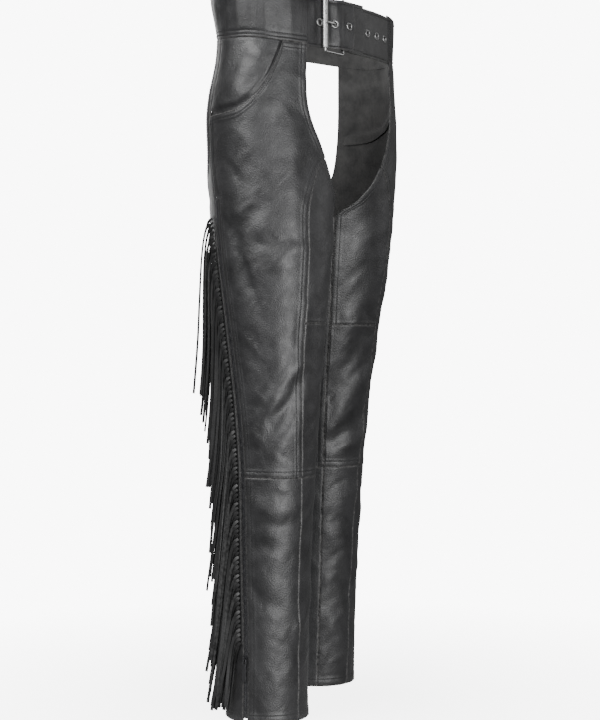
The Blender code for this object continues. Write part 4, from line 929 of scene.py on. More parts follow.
def finer_rows(down, top, bottom):
    """The places down a panel with more rows where the seat's edge runs nearly level."""
    first, even, last = down
    high, low = top - first[-1], bottom + last[-1]
    heights = [mix(high, low, share) for share in even]
    heights = [z for z in heights if z > SEAT_ROWS[0] or z < SEAT_ROWS[1]]
    heights += list(np.arange(SEAT_ROWS[0], SEAT_ROWS[1], -SEAT_ROW_STEP))
    return first, [(high - z) / (high - low) for z in sorted(heights, reverse=True)], last


def panel_grid(side, angle_from, angle_to, top_at, bottom, rows, seat):
    """The angles and heights of a panel's points, and their distances from its four edges.

    rows names the stitch rows along the panel's first, last, top and bottom edges. top_at gives
    the top edge's height at an angle. seat says that the last edge is the open seat's.
    """
    lap = SEAM_LAP / 2.0
    sample = np.linspace(bottom, -0.060 if bottom == KNEE_SEAM else KNEE_SEAM, 60)
    radius = read(LEG, "half_width", sample)
    width = (np.radians(angle_to(sample) - angle_from(sample)) * radius).max()
    across = line_places(width, rows["first"], rows["last"])

    def angles(z):
        """The angle of every column where the columns stand at heights z."""
        scale = read(LEG, "half_width", z)
        start = np.radians(angle_from(z)) * scale - lap
        end = np.radians(angle_to(z)) * scale + lap
        stretch = edge_slant(side, angle_to, z) if seat else 1.0
        table = spread(start, end, across, stretch)
        return np.degrees(np.diagonal(table, axis1=-2, axis2=-1) / scale)

    columns = sum(len(part) for part in across)
    top = np.full(columns, top_at(angle_from(-0.10)))
    for _ in range(5):
        top = np.array([top_at(angle) for angle in angles(top)])
    down = line_places(float(top.max() - bottom), rows["top"], rows["bottom"])
    if seat:
        down = finer_rows(down, float(top.max()), bottom)
    low = bottom - (lap if bottom > HEM else 0.0)
    z = spread(top + lap, np.full_like(top, low), down).T
    angle = angles(z)
    radius = read(LEG, "half_width", z)
    slant = edge_slant(side, angle_to, z) if seat else 1.0
    distances = {
        "first": np.radians(angle - angle_from(z)) * radius,
        "last": np.radians(angle_to(z) - angle) * radius / slant,
        "top": top[None, :] - z,
        "bottom": z - bottom,
    }
    return angle, z, distances


def leg_panel(side, node, angle_from, angle_to, top_at, bottom, rows,
              seat=False):
    """One leather panel of a leg, from its edges to its folds."""
    angle, z, distances = panel_grid(side, angle_from, angle_to, top_at, bottom, rows, seat)
    offset = np.zeros_like(z)
    wear_and_highlight = np.zeros_like(z)
    for edge, distance in distances.items():
        offset = offset + edge_profile(np.maximum(distance, 0.0), rows[edge])
        # Edge mask: the material paints these edges paler, as rubbed wear and a painted highlight.
        wear_and_highlight = np.maximum(wear_and_highlight, np.exp(-(distance / 0.0016) ** 2))
    outer = body_point(side, angle, z, offset)
    inner = body_point(side, angle, z, -WALL)
    name = side + "_" + node
    made = wall_mesh(name + "_leather", outer, inner, leather, wear_and_highlight, flesh_side)
    declare(made, (name,))
    return made


def level_top(height):
    """A top edge at one height."""
    return lambda angle: height


def band_top_edge(side):
    """A top edge that follows the waistband."""
    def top(angle):
        return float(band_bottom(body_point(side, angle, BAND_BOTTOM)[..., 1])) + SEAM_LAP
    return top


def pocket_top_edge(side):
    """The outer front's top edge: the waistband, then the curved pocket edge."""
    band = band_top_edge(side)

    def top(angle):
        if angle <= POCKET_START:
            return band(angle)
        return min(float(read(POCKET, "height", angle)), band(angle))
    return top


def edge_rows(first=PLAIN, last=PLAIN, top=PLAIN, bottom=PLAIN):
    return {"first": first, "last": last, "top": top, "bottom": bottom}


def leg_panels(side):
    front_top = pocket_top_edge(side)
    leg_panel(side, "outer_front_upper", front_edge, side_seam, front_top, KNEE_SEAM,
              edge_rows(first=DOUBLE, last=DOUBLE, top=DOUBLE, bottom=DOUBLE))
    leg_panel(side, "outer_front_lower", front_seam, side_seam, level_top(KNEE_SEAM), HEM,
              edge_rows(last=DOUBLE, bottom=HEM_ROWS))
    leg_panel(side, "inner_front_upper", opening, front_seam, level_top(OPENING_SEAM_TOP), MID_SEAM,
              edge_rows(first=DOUBLE, bottom=SINGLE))
    leg_panel(side, "inner_front_middle", opening, front_seam, level_top(MID_SEAM), KNEE_SEAM,
              edge_rows(first=SINGLE, bottom=DOUBLE))
    leg_panel(side, "inner_front_lower", opening, front_seam, level_top(KNEE_SEAM), HEM,
              edge_rows(bottom=HEM_ROWS))
    leg_panel(side, "back_upper", back_start, back_edge, band_top_edge(side), KNEE_SEAM,
              edge_rows(last=DOUBLE, bottom=DOUBLE), True)
    leg_panel(side, "back_lower", back_start, back_edge, level_top(KNEE_SEAM), HEM,
              edge_rows(bottom=HEM_ROWS))


def pocket_facing(side):
    """The piece behind the curved pocket edge, set in under it and level above."""
    columns, rows = 44, 40
    seam_top = side_seam(BAND_BOTTOM)
    share = np.linspace(0.0, 1.0, columns)
    first = mix(POCKET_START + FACING_START, seam_top, share)
    top = band_bottom(body_point(side, first, np.full(columns, BAND_BOTTOM))[..., 1]) + SEAM_LAP
    low = read(POCKET, "height", first) - FACING_UNDERLAP
    down = np.linspace(0.0, 1.0, rows)[:, None]
    z = mix(top, low, down)
    seam_above = z - read(POCKET, "height", side_seam(z))
    under = FACING_UNDERLAP * 0.5 * smooth(2.0 * FACING_MARGIN, FACING_MARGIN, seam_above)
    end = side_seam(z) + gap_angle(z, SEAM_LAP / 2.0 + under)
    angle = mix(POCKET_START + FACING_START, end, share[None, :])
    above_edge = z - read(POCKET, "height", angle)
    set_in = FACING_DEPTH * smooth(3.2 * FACING_MARGIN, FACING_MARGIN, above_edge)
    beyond = np.radians(angle - side_seam(z)) * read(LEG, "half_width", z)
    set_in = mix(set_in, FACING_TUCK, np.clip(beyond / (FACING_UNDERLAP * 0.5), 0.0, 1.0))
    side_gap = np.radians(end - angle) * read(LEG, "half_width", z)
    roll = edge_profile(side_gap, PLAIN) + edge_profile(top - z, PLAIN)
    outer = body_point(side, angle, z, roll - set_in)
    inner = body_point(side, angle, z, -set_in - WALL)
    # The side edge is painted paler: rubbed wear and a painted highlight.
    made = wall_mesh(side + "_pocket_facing_leather", outer, inner, leather,
                     np.exp(-(side_gap / 0.0016) ** 2), flesh_side)
    declare(made, (side + "_pocket_facing",))
    return made


# Stitching

class Thread:
    """Collects stitches, each a short raised bar of thread whose ends sink into the leather."""

    def __init__(self):
        self.points = []
        self.faces = []

    def stitch(self, start, end, normal, wide=THREAD_WIDTH):
        along = (end - start).normalized()
        across = along.cross(normal).normalized()
        first = len(self.points)
        for place, lift, width in ((0.0, -THREAD_SINK, 0.6), (0.22, THREAD_RISE, 1.0),
                                   (0.78, THREAD_RISE, 1.0), (1.0, -THREAD_SINK, 0.6)):
            middle = start.lerp(end, place) + normal * lift
            half = wide * width / 2.0
            self.points += [middle - across * half, middle + normal * half * 0.9,
                            middle + across * half, middle - normal * half]
        for ring in range(3):
            base = first + ring * 4
            for step in range(4):
                after = (step + 1) % 4
                self.faces.append((base + step, base + after, base + 4 + after, base + 4 + step))
        self.faces.append((first, first + 3, first + 2, first + 1))
        self.faces.append((first + 12, first + 13, first + 14, first + 15))

    def row(self, points, normals, pitch=STITCH_PITCH, length=STITCH_LENGTH):
        """A row of stitches along a line of surface points."""
        points, normals = np.asarray(points), np.asarray(normals)
        steps = np.linalg.norm(np.diff(points, axis=0), axis=1)
        run = np.concatenate(([0.0], np.cumsum(steps)))
        count = int((run[-1] - length) // pitch) + 1
        for number in range(max(count, 0)):
            begin = number * pitch
            ends = []
            for reach in (begin, begin + length):
                ends.append(Vector([np.interp(reach, run, points[:, axis]) for axis in range(3)]))
            middle = begin + length / 2.0
            normal = Vector([np.interp(middle, run, normals[:, axis]) for axis in range(3)])
            self.stitch(ends[0], ends[1], normal.normalized())

    def piece(self, name, nodes=()):
        made = add_mesh(name, self.points, self.faces, thread, 50.0)
        return declare(made, nodes)


def row_down(thread_row, side, angle_at, top, bottom, inset, raised=ALLOWANCE_RISE):
    """A stitch row down a leg, beside a line and inset from it."""
    z = np.linspace(top, bottom, max(int(abs(top - bottom) / 0.002), 4))
    angle = angle_at(z) + gap_angle(z, inset)
    points = body_point(side, angle, z, raised - STITCH_GROOVE)
    thread_row.row(points, outward(side, angle))


def row_round(thread_row, side, angle_from, angle_to, height, raised=ALLOWANCE_RISE):
    """A stitch row round a leg at a height, which may change with the angle."""
    count = max(int(math.radians(abs(angle_to - angle_from)) * 0.08 / 0.002), 4)
    angle = np.linspace(angle_from, angle_to, count)
    z = height(angle) if callable(height) else np.full(count, height)
    points = body_point(side, angle, z, raised - STITCH_GROOVE)
    thread_row.row(points, outward(side, angle))


def row_seat(thread_row, side, inset):
    """A stitch row inside the open seat's edge, at the same distance from it all along."""
    z = np.concatenate((np.arange(-0.028, SEAT_ROWS[0], -0.002),
                        np.arange(SEAT_ROWS[0], SEAT_END + 0.002, -0.0004)))
    scale = np.radians(1.0) * read(LEG, "half_width", z)
    place = np.stack((back_edge(z) * scale, z), axis=1)
    along = unit(np.gradient(place, axis=0))
    place = place + np.stack((along[:, 1], -along[:, 0]), axis=1) * inset
    angle, height = place[:, 0] / scale, place[:, 1]
    points = body_point(side, angle, height, ALLOWANCE_RISE - STITCH_GROOVE)
    thread_row.row(points, outward(side, angle))


def leg_stitching(side):
    rows = Thread()
    band_at_front = BAND_BOTTOM - BAND_FRONT_DIP - 0.003
    for inset in DOUBLE:
        row_down(rows, side, front_edge, band_at_front, KNEE_SEAM + 0.010, inset)
        row_down(rows, side, side_seam, -0.150, ZIP_MOUTH + 0.002, -inset)
        row_down(rows, side, side_seam, ZIP_MOUTH - 0.004, KNEE_SEAM + 0.010, -inset)
        row_down(rows, side, side_seam, KNEE_SEAM - 0.002, HEM + 0.002, -inset)
        row_down(rows, side, opening, OPENING_SEAM_TOP - 0.004, -0.285, inset)
        row_seat(rows, side, inset)
        row_round(rows, side, POCKET_START + 1.0, 118.0,
                  lambda angle: read(POCKET, "height", angle) - inset)
        row_round(rows, side, -49.5, 86.0, KNEE_SEAM + inset)
        row_round(rows, side, 97.0, 309.0, KNEE_SEAM + inset)
    row_round(rows, side, -49.5, 12.0, MID_SEAM + SINGLE[0])
    row_round(rows, side, -49.5, 76.0, HEM + HEM_ROWS[0], 0.0)
    row_round(rows, side, 86.0, 309.0, HEM + HEM_ROWS[0], 0.0)
    row_down(rows, side, opening, -0.290, KNEE_SEAM + 0.012, SINGLE[0])
    row_round(rows, side, 103.0, 116.0, ZIP_MOUTH + 0.0006)
    row_round(rows, side, 103.0, 116.0, ZIP_MOUTH - 0.0018)
    return rows.piece(side + "_stitching")


# Zip

def zip_lines(z):
    """The angles of the zip chain's two edges."""
    half = gap_angle(z, SEAM_GAP / 2.0)
    return side_seam(z) + half, back_start(z) - half


def zip_middle(z):
    start, end = zip_lines(z)
    return (start + end) / 2.0


def zip_tape(side):
    """The woven tape between the panels' edges, dished a little on both sides of the teeth."""
    z = np.arange(ZIP_MOUTH - SEAM_GAP, HEM + 0.006, -GRID)
    shares = np.linspace(0.0, 1.0, 9)
    start, end = zip_lines(z)
    angle = mix(start[:, None], end[:, None], shares[None, :])
    rise = CHAIN_PROUD * 0.6 * np.sin(shares * math.pi) ** 2
    level = np.repeat(z[:, None], shares.size, axis=1)
    outer = body_point(side, angle, level, rise[None, :] - 0.0004)
    inner = body_point(side, angle, level, -CHAIN_INSIDE)
    made = wall_mesh(side + "_zip_tape", outer, inner, tape)
    return declare(made, (side + "_zip_chain",))


def zip_teeth(side):
    """Two rows of interlocked teeth down the middle of the tape."""
    points, faces = [], []
    count = int((ZIP_TOP - HEM - 0.016) / (TOOTH_PITCH / 2.0))
    heights = ZIP_TOP - 0.004 - np.arange(count) * TOOTH_PITCH / 2.0
    places = body_point(side, zip_middle(heights), heights, CHAIN_PROUD * 0.4)
    outs, acrosses = outward(side, zip_middle(heights)), onward(side, zip_middle(heights))
    for number in range(count):
        row = 1.0 if number % 2 else -1.0
        middle, out, across = Vector(places[number]), Vector(outs[number]), Vector(acrosses[number])
        middle = middle + across * row * 0.0006
        up = Vector((0.0, 0.0, 1.0))
        half_width, half_height = TOOTH_WIDTH / 2.0, TOOTH_HEIGHT / 2.0
        base = len(points)
        for rise, shrink in ((-0.0004, 1.0), (TOOTH_RISE * 0.6, 1.0), (TOOTH_RISE, 0.62)):
            for x, y in ((-1, -1), (1, -1), (1, 1), (-1, 1)):
                points.append(middle + across * (x * half_width * shrink)
                              + up * (y * half_height * shrink) + out * rise)
        for ring in (0, 4):
            for step in range(4):
                after = (step + 1) % 4
                faces.append((base + ring + step, base + ring + after,
                              base + ring + 4 + after, base + ring + 4 + step))
        faces.append((base, base + 3, base + 2, base + 1))
        faces.append((base + 8, base + 9, base + 10, base + 11))
    made = add_mesh(side + "_zip_teeth", points, faces, zip_metal, 35.0)
    return declare(made)


def softened(node, name, material, body, width, segments=2):
    """A CAD node's own mesh with its edges rounded, as a piece that stands for the node."""
    source = bpy.data.objects[node]
    mesh = source.data.copy()
    mesh.name = name
    work = bmesh.new()
    work.from_mesh(mesh)
    bmesh.ops.remove_doubles(work, verts=work.verts, dist=0.00001)
    bmesh.ops.dissolve_limit(work, angle_limit=math.radians(1.0), verts=work.verts, edges=work.edges)
    work.to_mesh(mesh)
    work.free()
    mesh.materials.clear()
    mesh.materials.append(material)
    made = bpy.data.objects.new(name, mesh)
    bpy.context.scene.collection.objects.link(made)
    round_off = made.modifiers.new("round_off", "BEVEL")
    round_off.width = width
    round_off.segments = segments
    round_off.limit_method = "ANGLE"
    round_off.angle_limit = math.radians(30.0)
    mesh.shade_smooth()
    mesh.set_sharp_from_angle(angle=math.radians(50.0))
    return declare(made, (node,), body)


# Fringe

def strip_point(side, share, z, offset):
    """Points over the straight strip of the back panel, share 0 at its front edge."""
    near = body_point(side, back_start(z), z, offset)
    far = body_point(side, strip_end(z), z, offset)
    return mix(near, far, np.asarray(share)[..., None])


def fringe_strip(side):
    """Outer and inner points of the narrow strip that the strands are cut from."""
    z = np.arange(FRINGE_TOP, FRINGE_BOTTOM, -GRID)
    shares = np.array([0.0, 0.06, 0.3, 0.7, 0.94, 1.0])
    place = (FRINGE_INSET + shares * FRINGE_STRIP) / SIDE_STRIP
    level = np.repeat(z[:, None], shares.size, axis=1)
    round_edge = np.array([0.5, 0.9, 1.0, 1.0, 0.9, 0.5]) * FRINGE_STRIP_WALL
    outer = strip_point(side, np.broadcast_to(place, level.shape), level, SEAM_GAP + round_edge)
    inner = strip_point(side, np.broadcast_to(place, level.shape), level, SEAM_GAP)
    return outer, inner


def strand_path(side, number, z_root, length):
    """Middle points of a strand with its directions across and out, from its root to its tip."""
    share = np.linspace(0.0, 1.0, STRAND_PARTS + 1) ** 1.35
    drop = share * length
    z = z_root - drop
    fan = math.exp(-number / TOP_FAN_STRANDS)
    throw = STRAND_THROW + TOP_FAN * fan
    settle = 1.0 - np.exp(-drop / (STRAND_THROW_DROP * (1.0 + fan)))
    lean = STRAND_SLOPE + 0.02 * fan + STRAND_SPREAD * (scatter(number + 31) - 0.5)
    wave = np.sin(drop / length * (3.0 + 3.0 * scatter(number + 5)) + 6.3 * scatter(number + 11))
    wave = wave - math.sin(6.3 * scatter(number + 11))
    back = throw * settle + lean * drop + STRAND_SWAY * wave * share
    layer = STRAND_LAYERS - 1 - number % STRAND_LAYERS
    loop = ROOT_LOOP * np.exp(-((drop - 0.003) / 0.004) ** 2)
    settled = 1.0 - np.exp(-drop / 0.006)
    out = STRAND_CLEAR + layer * STRAND_LAYER_STEP * settled + STRAND_LIFT * drop + loop
    root_share = (FRINGE_INSET + FRINGE_STRIP / 2.0) / SIDE_STRIP
    high = SEAM_GAP + FRINGE_STRIP_WALL * 0.6
    base = strip_point(side, np.full_like(z, root_share), z, high)
    angle = back_start(z) + gap_angle(z, SIDE_STRIP * root_share)
    t, n = onward(side, angle), outward(side, angle)
    middle = base + t * back[:, None] + n * out[:, None]
    turn = ROOT_TWIST * np.exp(-drop / ROOT_TWIST_DROP)
    turn = turn + STRAND_TWIST * (scatter(number + 17) - 0.35) * np.sin(share * 2.6) * 2.0
    twist = np.radians(turn)[:, None]
    across = t * np.cos(twist) + n * np.sin(twist)
    along = unit(np.gradient(middle, axis=0))
    across = unit(across - along * (across * along).sum(axis=1, keepdims=True))
    return middle, across, np.cross(across, along)


def fringe(side):
    """The strip and its strands: flat thongs that loop over it, then hang down and back."""
    outer, inner = fringe_strip(side)
    rows, columns = outer.shape[:2]
    points = [tuple(point) for point in np.concatenate((outer.reshape(-1, 3), inner.reshape(-1, 3)))]
    faces = wall_faces(rows, columns)
    wear_and_highlight = [0.3] * len(points)
    pitch = (FRINGE_TOP - FRINGE_BOTTOM) / STRANDS
    for number in range(STRANDS):
        z_root = FRINGE_TOP - pitch * (number + 0.5)
        length = STRAND_LENGTH * (1.0 - STRAND_UNEVEN * scatter(number + 7))
        length = min(length, z_root - STRAND_FLOOR - 0.012 * scatter(number + 3))
        middle, across, facing = strand_path(side, number, z_root, length)
        width = STRAND_WIDTH * (0.86 + 0.28 * scatter(number + 23))
        base = len(points)
        wear_and_highlight += [scatter(number + 41) ** 2] * (4 * len(middle))
        for place in range(len(middle)):
            narrow = 0.80 if place == 0 else 1.0
            for x, y in ((-1, -1), (1, -1), (1, 1), (-1, 1)):
                point = middle[place] + across[place] * (x * width * narrow / 2.0)
                points.append(tuple(point + facing[place] * (y * STRAND_THICKNESS / 2.0)))
        for place in range(len(middle) - 1):
            ring = base + place * 4
            for step in range(4):
                after = (step + 1) % 4
                faces.append((ring + step, ring + after, ring + 4 + after, ring + 4 + step))
        last = base + (len(middle) - 1) * 4
        faces.append((base, base + 3, base + 2, base + 1))
        faces.append((last, last + 1, last + 2, last + 3))
    made = add_mesh(side + "_fringe_thongs", points, faces, fringe_leather, 40.0)
    made.data.attributes.new("wear_and_highlight", "FLOAT", "POINT").data.foreach_set("value", wear_and_highlight)
    return declare(made, (side + "_fringe",))


# Waistband and straps

def oval_point(turn, z, side):
    """Points on the waist oval: turn 0 at the front middle, 90 at the side, 180 at the back."""
    half_width = read(HIP, "half_width", z)
    angle = np.radians(turn)
    power = 2.0 / SMOOTH_POWER_FRONT
    ahead = np.maximum(np.cos(angle), 0.0) ** power
    front = turn <= 90.0
    x = half_width * np.where(front, np.sin(angle) ** power, np.sin(angle))
    y = np.where(front, -read(HIP, "front", z) * ahead, -read(HIP, "back", z) * np.cos(angle))
    return np.stack((sign(side) * x, y, z), axis=-1)


def oval_normal(points, z):
    """The level directions out of the waist oval at points on it."""
    half_width, front, back = (read(HIP, name, z) for name in ("half_width", "front", "back"))
    x, y = points[..., 0], points[..., 1]
    power = SMOOTH_POWER_FRONT - 1.0
    front_x = np.copysign(np.abs(x / half_width) ** power / half_width, x)
    front_y = -np.abs(y / front) ** power / front
    normal_x = np.where(y < 0.0, front_x, x / half_width ** 2)
    normal_y = np.where(y < 0.0, front_y, y / back ** 2)
    return unit(np.stack((normal_x, normal_y, np.zeros_like(normal_x)), axis=-1))


def band_start(z):
    """The turn round the waist oval at which the waistband's front end stands."""
    reach = BAND_END / read(HIP, "half_width", z)
    return np.degrees(np.arcsin(reach ** (SMOOTH_POWER_FRONT / 2.0)))


BAND_PUCKERS = {
    "columns": ("turn", "width", "height"),
    "rows": (
        (42.0, 2.6, 0.0009), (50.0, 2.0, -0.0007), (61.0, 3.4, 0.0012), (72.0, 2.6, -0.0009),
        (83.0, 3.0, 0.0010), (96.0, 2.4, -0.0008), (108.0, 3.6, 0.0012), (124.0, 3.0, -0.0010),
        (139.0, 3.2, 0.0011), (153.0, 2.6, -0.0008), (167.0, 3.4, 0.0010),
    ),
}
BAND_ROWS_LOW = (0.0048, 0.0100)
BAND_ROW_TOP = 0.0055


def band_surface(side, turn, share, offset):
    """Points on the waistband: share 0 at its top edge, 1 at its lower edge."""
    middle = oval_point(turn, np.zeros_like(turn), side)
    y = middle[..., 1]
    z = mix(band_top(y), band_bottom(y), share)
    place = mix(band_start(z), 180.0, (turn - band_start(0.0)) / (180.0 - band_start(0.0)))
    point = oval_point(place, z, side)
    normal = oval_normal(point, z)
    pucker = np.zeros_like(z)
    for at, width, height in BAND_PUCKERS["rows"]:
        pucker = pucker + height * np.exp(-((turn - at) / width) ** 2)
    pucker = pucker * np.sin(np.clip(share, 0.0, 1.0) * math.pi) ** 0.6
    return point + normal * (offset + pucker)[..., None], normal, z


def waistband(side):
    """Half of the waistband: two layers of leather, fuller in the middle than at the stitches."""
    height = BAND_TOP - BAND_BOTTOM
    turn = np.linspace(float(band_start(0.0)), 180.0, 112)
    steps = [0.0, 0.0004, 0.0011, 0.0026, BAND_ROW_TOP - 0.0008, BAND_ROW_TOP, BAND_ROW_TOP + 0.0008]
    steps += list(np.linspace(0.0095, height - 0.0135, 14))
    for row in reversed(BAND_ROWS_LOW):
        steps += [height - row - 0.0008, height - row, height - row + 0.0008]
    steps += [height - 0.0026, height - 0.0011, height - 0.0004, height]
    down = np.array(sorted(steps))
    share = (down / height)[:, None] * np.ones(turn.size)[None, :]
    turns = np.repeat(turn[None, :], down.size, axis=0)
    profile = np.zeros(down.size)
    for row in (BAND_ROW_TOP, height - BAND_ROWS_LOW[0], height - BAND_ROWS_LOW[1]):
        profile = profile - 0.0007 * np.exp(-((down - row) / 0.0011) ** 2)
    profile = profile + 0.0011 * np.sin(np.clip(down / height, 0.0, 1.0) * math.pi) ** 0.5
    profile = profile - 0.0007 * (np.exp(-(down / 0.0008) ** 2) + np.exp(-((height - down) / 0.0008) ** 2))
    offset = np.repeat(profile[:, None], turn.size, axis=1) + BAND_PROUD - 0.0006
    outer, _, _ = band_surface(side, turns, share, offset)
    inner, _, _ = band_surface(side, turns, share, np.full_like(offset, -BAND_INSIDE))
    outer[:, -1, 0] = sign(side) * SEAM_GAP / 2.0
    inner[:, -1, 0] = sign(side) * SEAM_GAP / 2.0
    # Top and bottom edges painted paler: rubbed wear and a painted highlight.
    edge = np.minimum(down, height - down)
    wear_and_highlight = np.repeat(np.exp(-(edge / 0.0016) ** 2)[:, None], turn.size, axis=1)
    made = wall_mesh(side + "_waistband_leather", outer, inner, leather, wear_and_highlight, flesh_side)
    declare(made, (side + "_waistband",))
    return made


def waistband_stitching(side):
    rows = Thread()
    height = BAND_TOP - BAND_BOTTOM
    turn = np.linspace(float(band_start(0.0)) + 0.5, 179.4, 300)
    for down in (BAND_ROW_TOP, height - BAND_ROWS_LOW[0], height - BAND_ROWS_LOW[1]):
        points, normals, _ = band_surface(side, turn, np.full_like(turn, down / height),
                                          np.full_like(turn, BAND_PROUD - 0.0003))
        rows.row(points, normals)
    share = np.linspace(0.10, 0.90, 60)
    for shift in (2.2, 4.4):
        turns = np.full_like(share, float(band_start(0.0)) + shift)
        points, normals, _ = band_surface(side, turns, share, np.full_like(share, BAND_PROUD + 0.0003))
        rows.row(points, normals)
    return rows.piece(side + "_waistband_stitching")


def front_place(x, offset, z=0.0):
    """Points in front of the waist oval, offset out of it, at distances from the middle."""
    x, offset, z = np.broadcast_arrays(*(np.asarray(v, dtype=float) for v in (x, offset, z)))
    level = np.full_like(x, BUCKLE_LEVEL)
    half_width, front = read(HIP, "half_width", level), read(HIP, "front", level)
    inside = 1.0 - np.abs(x / half_width) ** SMOOTH_POWER_FRONT
    point = np.stack((x, -front * inside ** (1.0 / SMOOTH_POWER_FRONT), z), axis=-1)
    return point + oval_normal(point, level) * offset[..., None]


def right_strap_offset(x):
    """The strap lies on the body, passes behind the roller and climbs over the hinge bar."""
    return mix(STRAP_SEAT, STRAP_LIFT, smooth(STRAP_CLIMB[0], STRAP_CLIMB[1], x))


def strap_frame(x):
    """The right strap's outer surface points with their directions along and out."""
    here = front_place(x, right_strap_offset(x))
    ahead = front_place(x + 0.0005, right_strap_offset(x + 0.0005))
    along = unit(ahead - here)
    out = np.stack((along[..., 1], -along[..., 0], np.zeros_like(along[..., 0])), axis=-1)
    return here + out * STRAP_WALL, along, out


STRAP_PUCKERS = {
    "columns": ("x", "z", "width", "height", "size"),
    "rows": (
        (-0.0635, 0.014, 0.0030, 0.018, 0.0011), (-0.0600, -0.022, 0.0034, 0.016, 0.0012),
        (-0.0545, 0.004, 0.0026, 0.014, -0.0009), (-0.0480, 0.018, 0.0032, 0.012, 0.0010),
        (-0.0430, -0.028, 0.0030, 0.012, 0.0009), (-0.0360, -0.004, 0.0030, 0.020, -0.0007),
        (-0.0860, 0.010, 0.0040, 0.020, 0.0008), (-0.0790, -0.026, 0.0036, 0.014, -0.0008),
    ),
}
STRAP_ROWS = (0.0045,)


def strap_profile(z, top, bottom):
    """Rolled edges, a groove at each stitch row and a fuller middle."""
    edge = np.minimum(top - z, z - bottom)
    total = -0.0007 * np.exp(-(edge / 0.0008) ** 2)
    for row in STRAP_ROWS:
        total = total - 0.0005 * np.exp(-((edge - row) / 0.0009) ** 2)
    return total + 0.0003 * smooth(0.004, 0.012, edge), edge


def strap_heights(top, bottom):
    width = top - bottom
    steps = [0.0, 0.0004, 0.0011, 0.0024, 0.0037, 0.0045, 0.0053]
    middle = list(np.linspace(0.008, width - 0.008, 20))
    return top - np.array(sorted(steps + middle + [width - step for step in steps]))


def right_strap():
    """The strap with the free end, curved a little at its tip."""
    z = strap_heights(STRAP_TOP, STRAP_BOTTOM)
    start = -BAND_END + 2.0 * SEAM_GAP
    share = np.linspace(0.0, 1.0, 64)
    high = 2.0 * (z - STRAP_BOTTOM) / (STRAP_TOP - STRAP_BOTTOM) - 1.0
    tip = STRAP_TIP - 0.0045 * high * high
    x = mix(start, tip[:, None], share[None, :])
    surface, _, out = strap_frame(x)
    level = np.repeat(z[:, None], share.size, axis=1)
    profile, edge = strap_profile(level, STRAP_TOP, STRAP_BOTTOM)
    for at_x, at_z, width, height, size in STRAP_PUCKERS["rows"]:
        profile = profile + size * np.exp(-((x - at_x) / width) ** 2 - ((level - at_z) / height) ** 2)
    tip_gap = tip[:, None] - x
    profile = profile - 0.0006 * np.exp(-(tip_gap / 0.0009) ** 2)
    outer = surface + out * profile[..., None]
    inner = surface - out * STRAP_WALL
    outer[..., 2], inner[..., 2] = level, level
    # Edges and tip painted paler: rubbed wear and a painted highlight.
    wear_and_highlight = np.maximum(np.exp(-(edge / 0.0016) ** 2), np.exp(-(tip_gap / 0.0016) ** 2))
    made = wall_mesh("right_strap_leather", outer, inner, leather, wear_and_highlight)
    holes = [strap_hole(x) for x in RIGHT_EYELETS]
    pierce(made, [(middle + axis * HOLE_LIFT, axis) for middle, axis in holes])
    declare(made, ("right_strap",))
    return made


def strap_hole(x):
    surface, _, out = strap_frame(np.array(x))
    return Vector((surface[0], surface[1], BUCKLE_MID)), Vector(out)


def left_hole(x):
    point = front_place(x, 0.0, BUCKLE_MID)
    return Vector(point), Vector(oval_normal(front_place(x, 0.0), np.array(BUCKLE_LEVEL)))


def pierce(piece, holes, extra=()):
    """Cuts round holes through a strap at its eyelets, and applies the cut."""
    cutters = list(extra)
    for number, (middle, axis) in enumerate(holes):
        bpy.ops.mesh.primitive_cylinder_add(vertices=20, radius=EYELET_BORE, depth=0.009, location=middle)
        cutter = bpy.context.object
        cutter.rotation_mode = "QUATERNION"
        cutter.rotation_quaternion = axis.to_track_quat("Z", "Y")
        cutters.append(cutter)
    for number, cutter in enumerate(cutters):
        cut = piece.modifiers.new("hole_%d" % number, "BOOLEAN")
        cut.operation = "DIFFERENCE"
        cut.solver = "EXACT"
        cut.object = cutter
    bpy.context.view_layer.update()
    graph = bpy.context.evaluated_depsgraph_get()
    cut_mesh = bpy.data.meshes.new_from_object(piece.evaluated_get(graph))
    piece.modifiers.clear()
    piece.data = cut_mesh
    for cutter in cutters:
        bpy.data.objects.remove(cutter, do_unlink=True)


def left_strap_path():
    """The middle line of the left strap: along the body, round the hinge bar and back."""
    half = STRAP_WALL / 2.0
    centre = front_place(HINGE_X, HINGE_OFFSET)
    normal = oval_normal(front_place(HINGE_X, 0.0), np.array(BUCKLE_LEVEL))
    tangent = np.array((-normal[1], normal[0], 0.0))
    radius = WIRE_RADIUS + SEAM_GAP + half
    body = front_place(np.linspace(BAND_END - 2.0 * SEAM_GAP, HINGE_X + 0.003, 56), STRAP_SEAT + half)
    turn = np.radians(np.linspace(-90.0, 90.0, 17))[:, None]
    wrap = centre - tangent * (radius * np.cos(turn)) + normal * (radius * np.sin(turn))
    back = front_place(np.linspace(HINGE_X, WRAP_END, 19)[1:], HINGE_OFFSET + radius)
    return np.concatenate((body, wrap, back)), len(body) + len(wrap) // 2


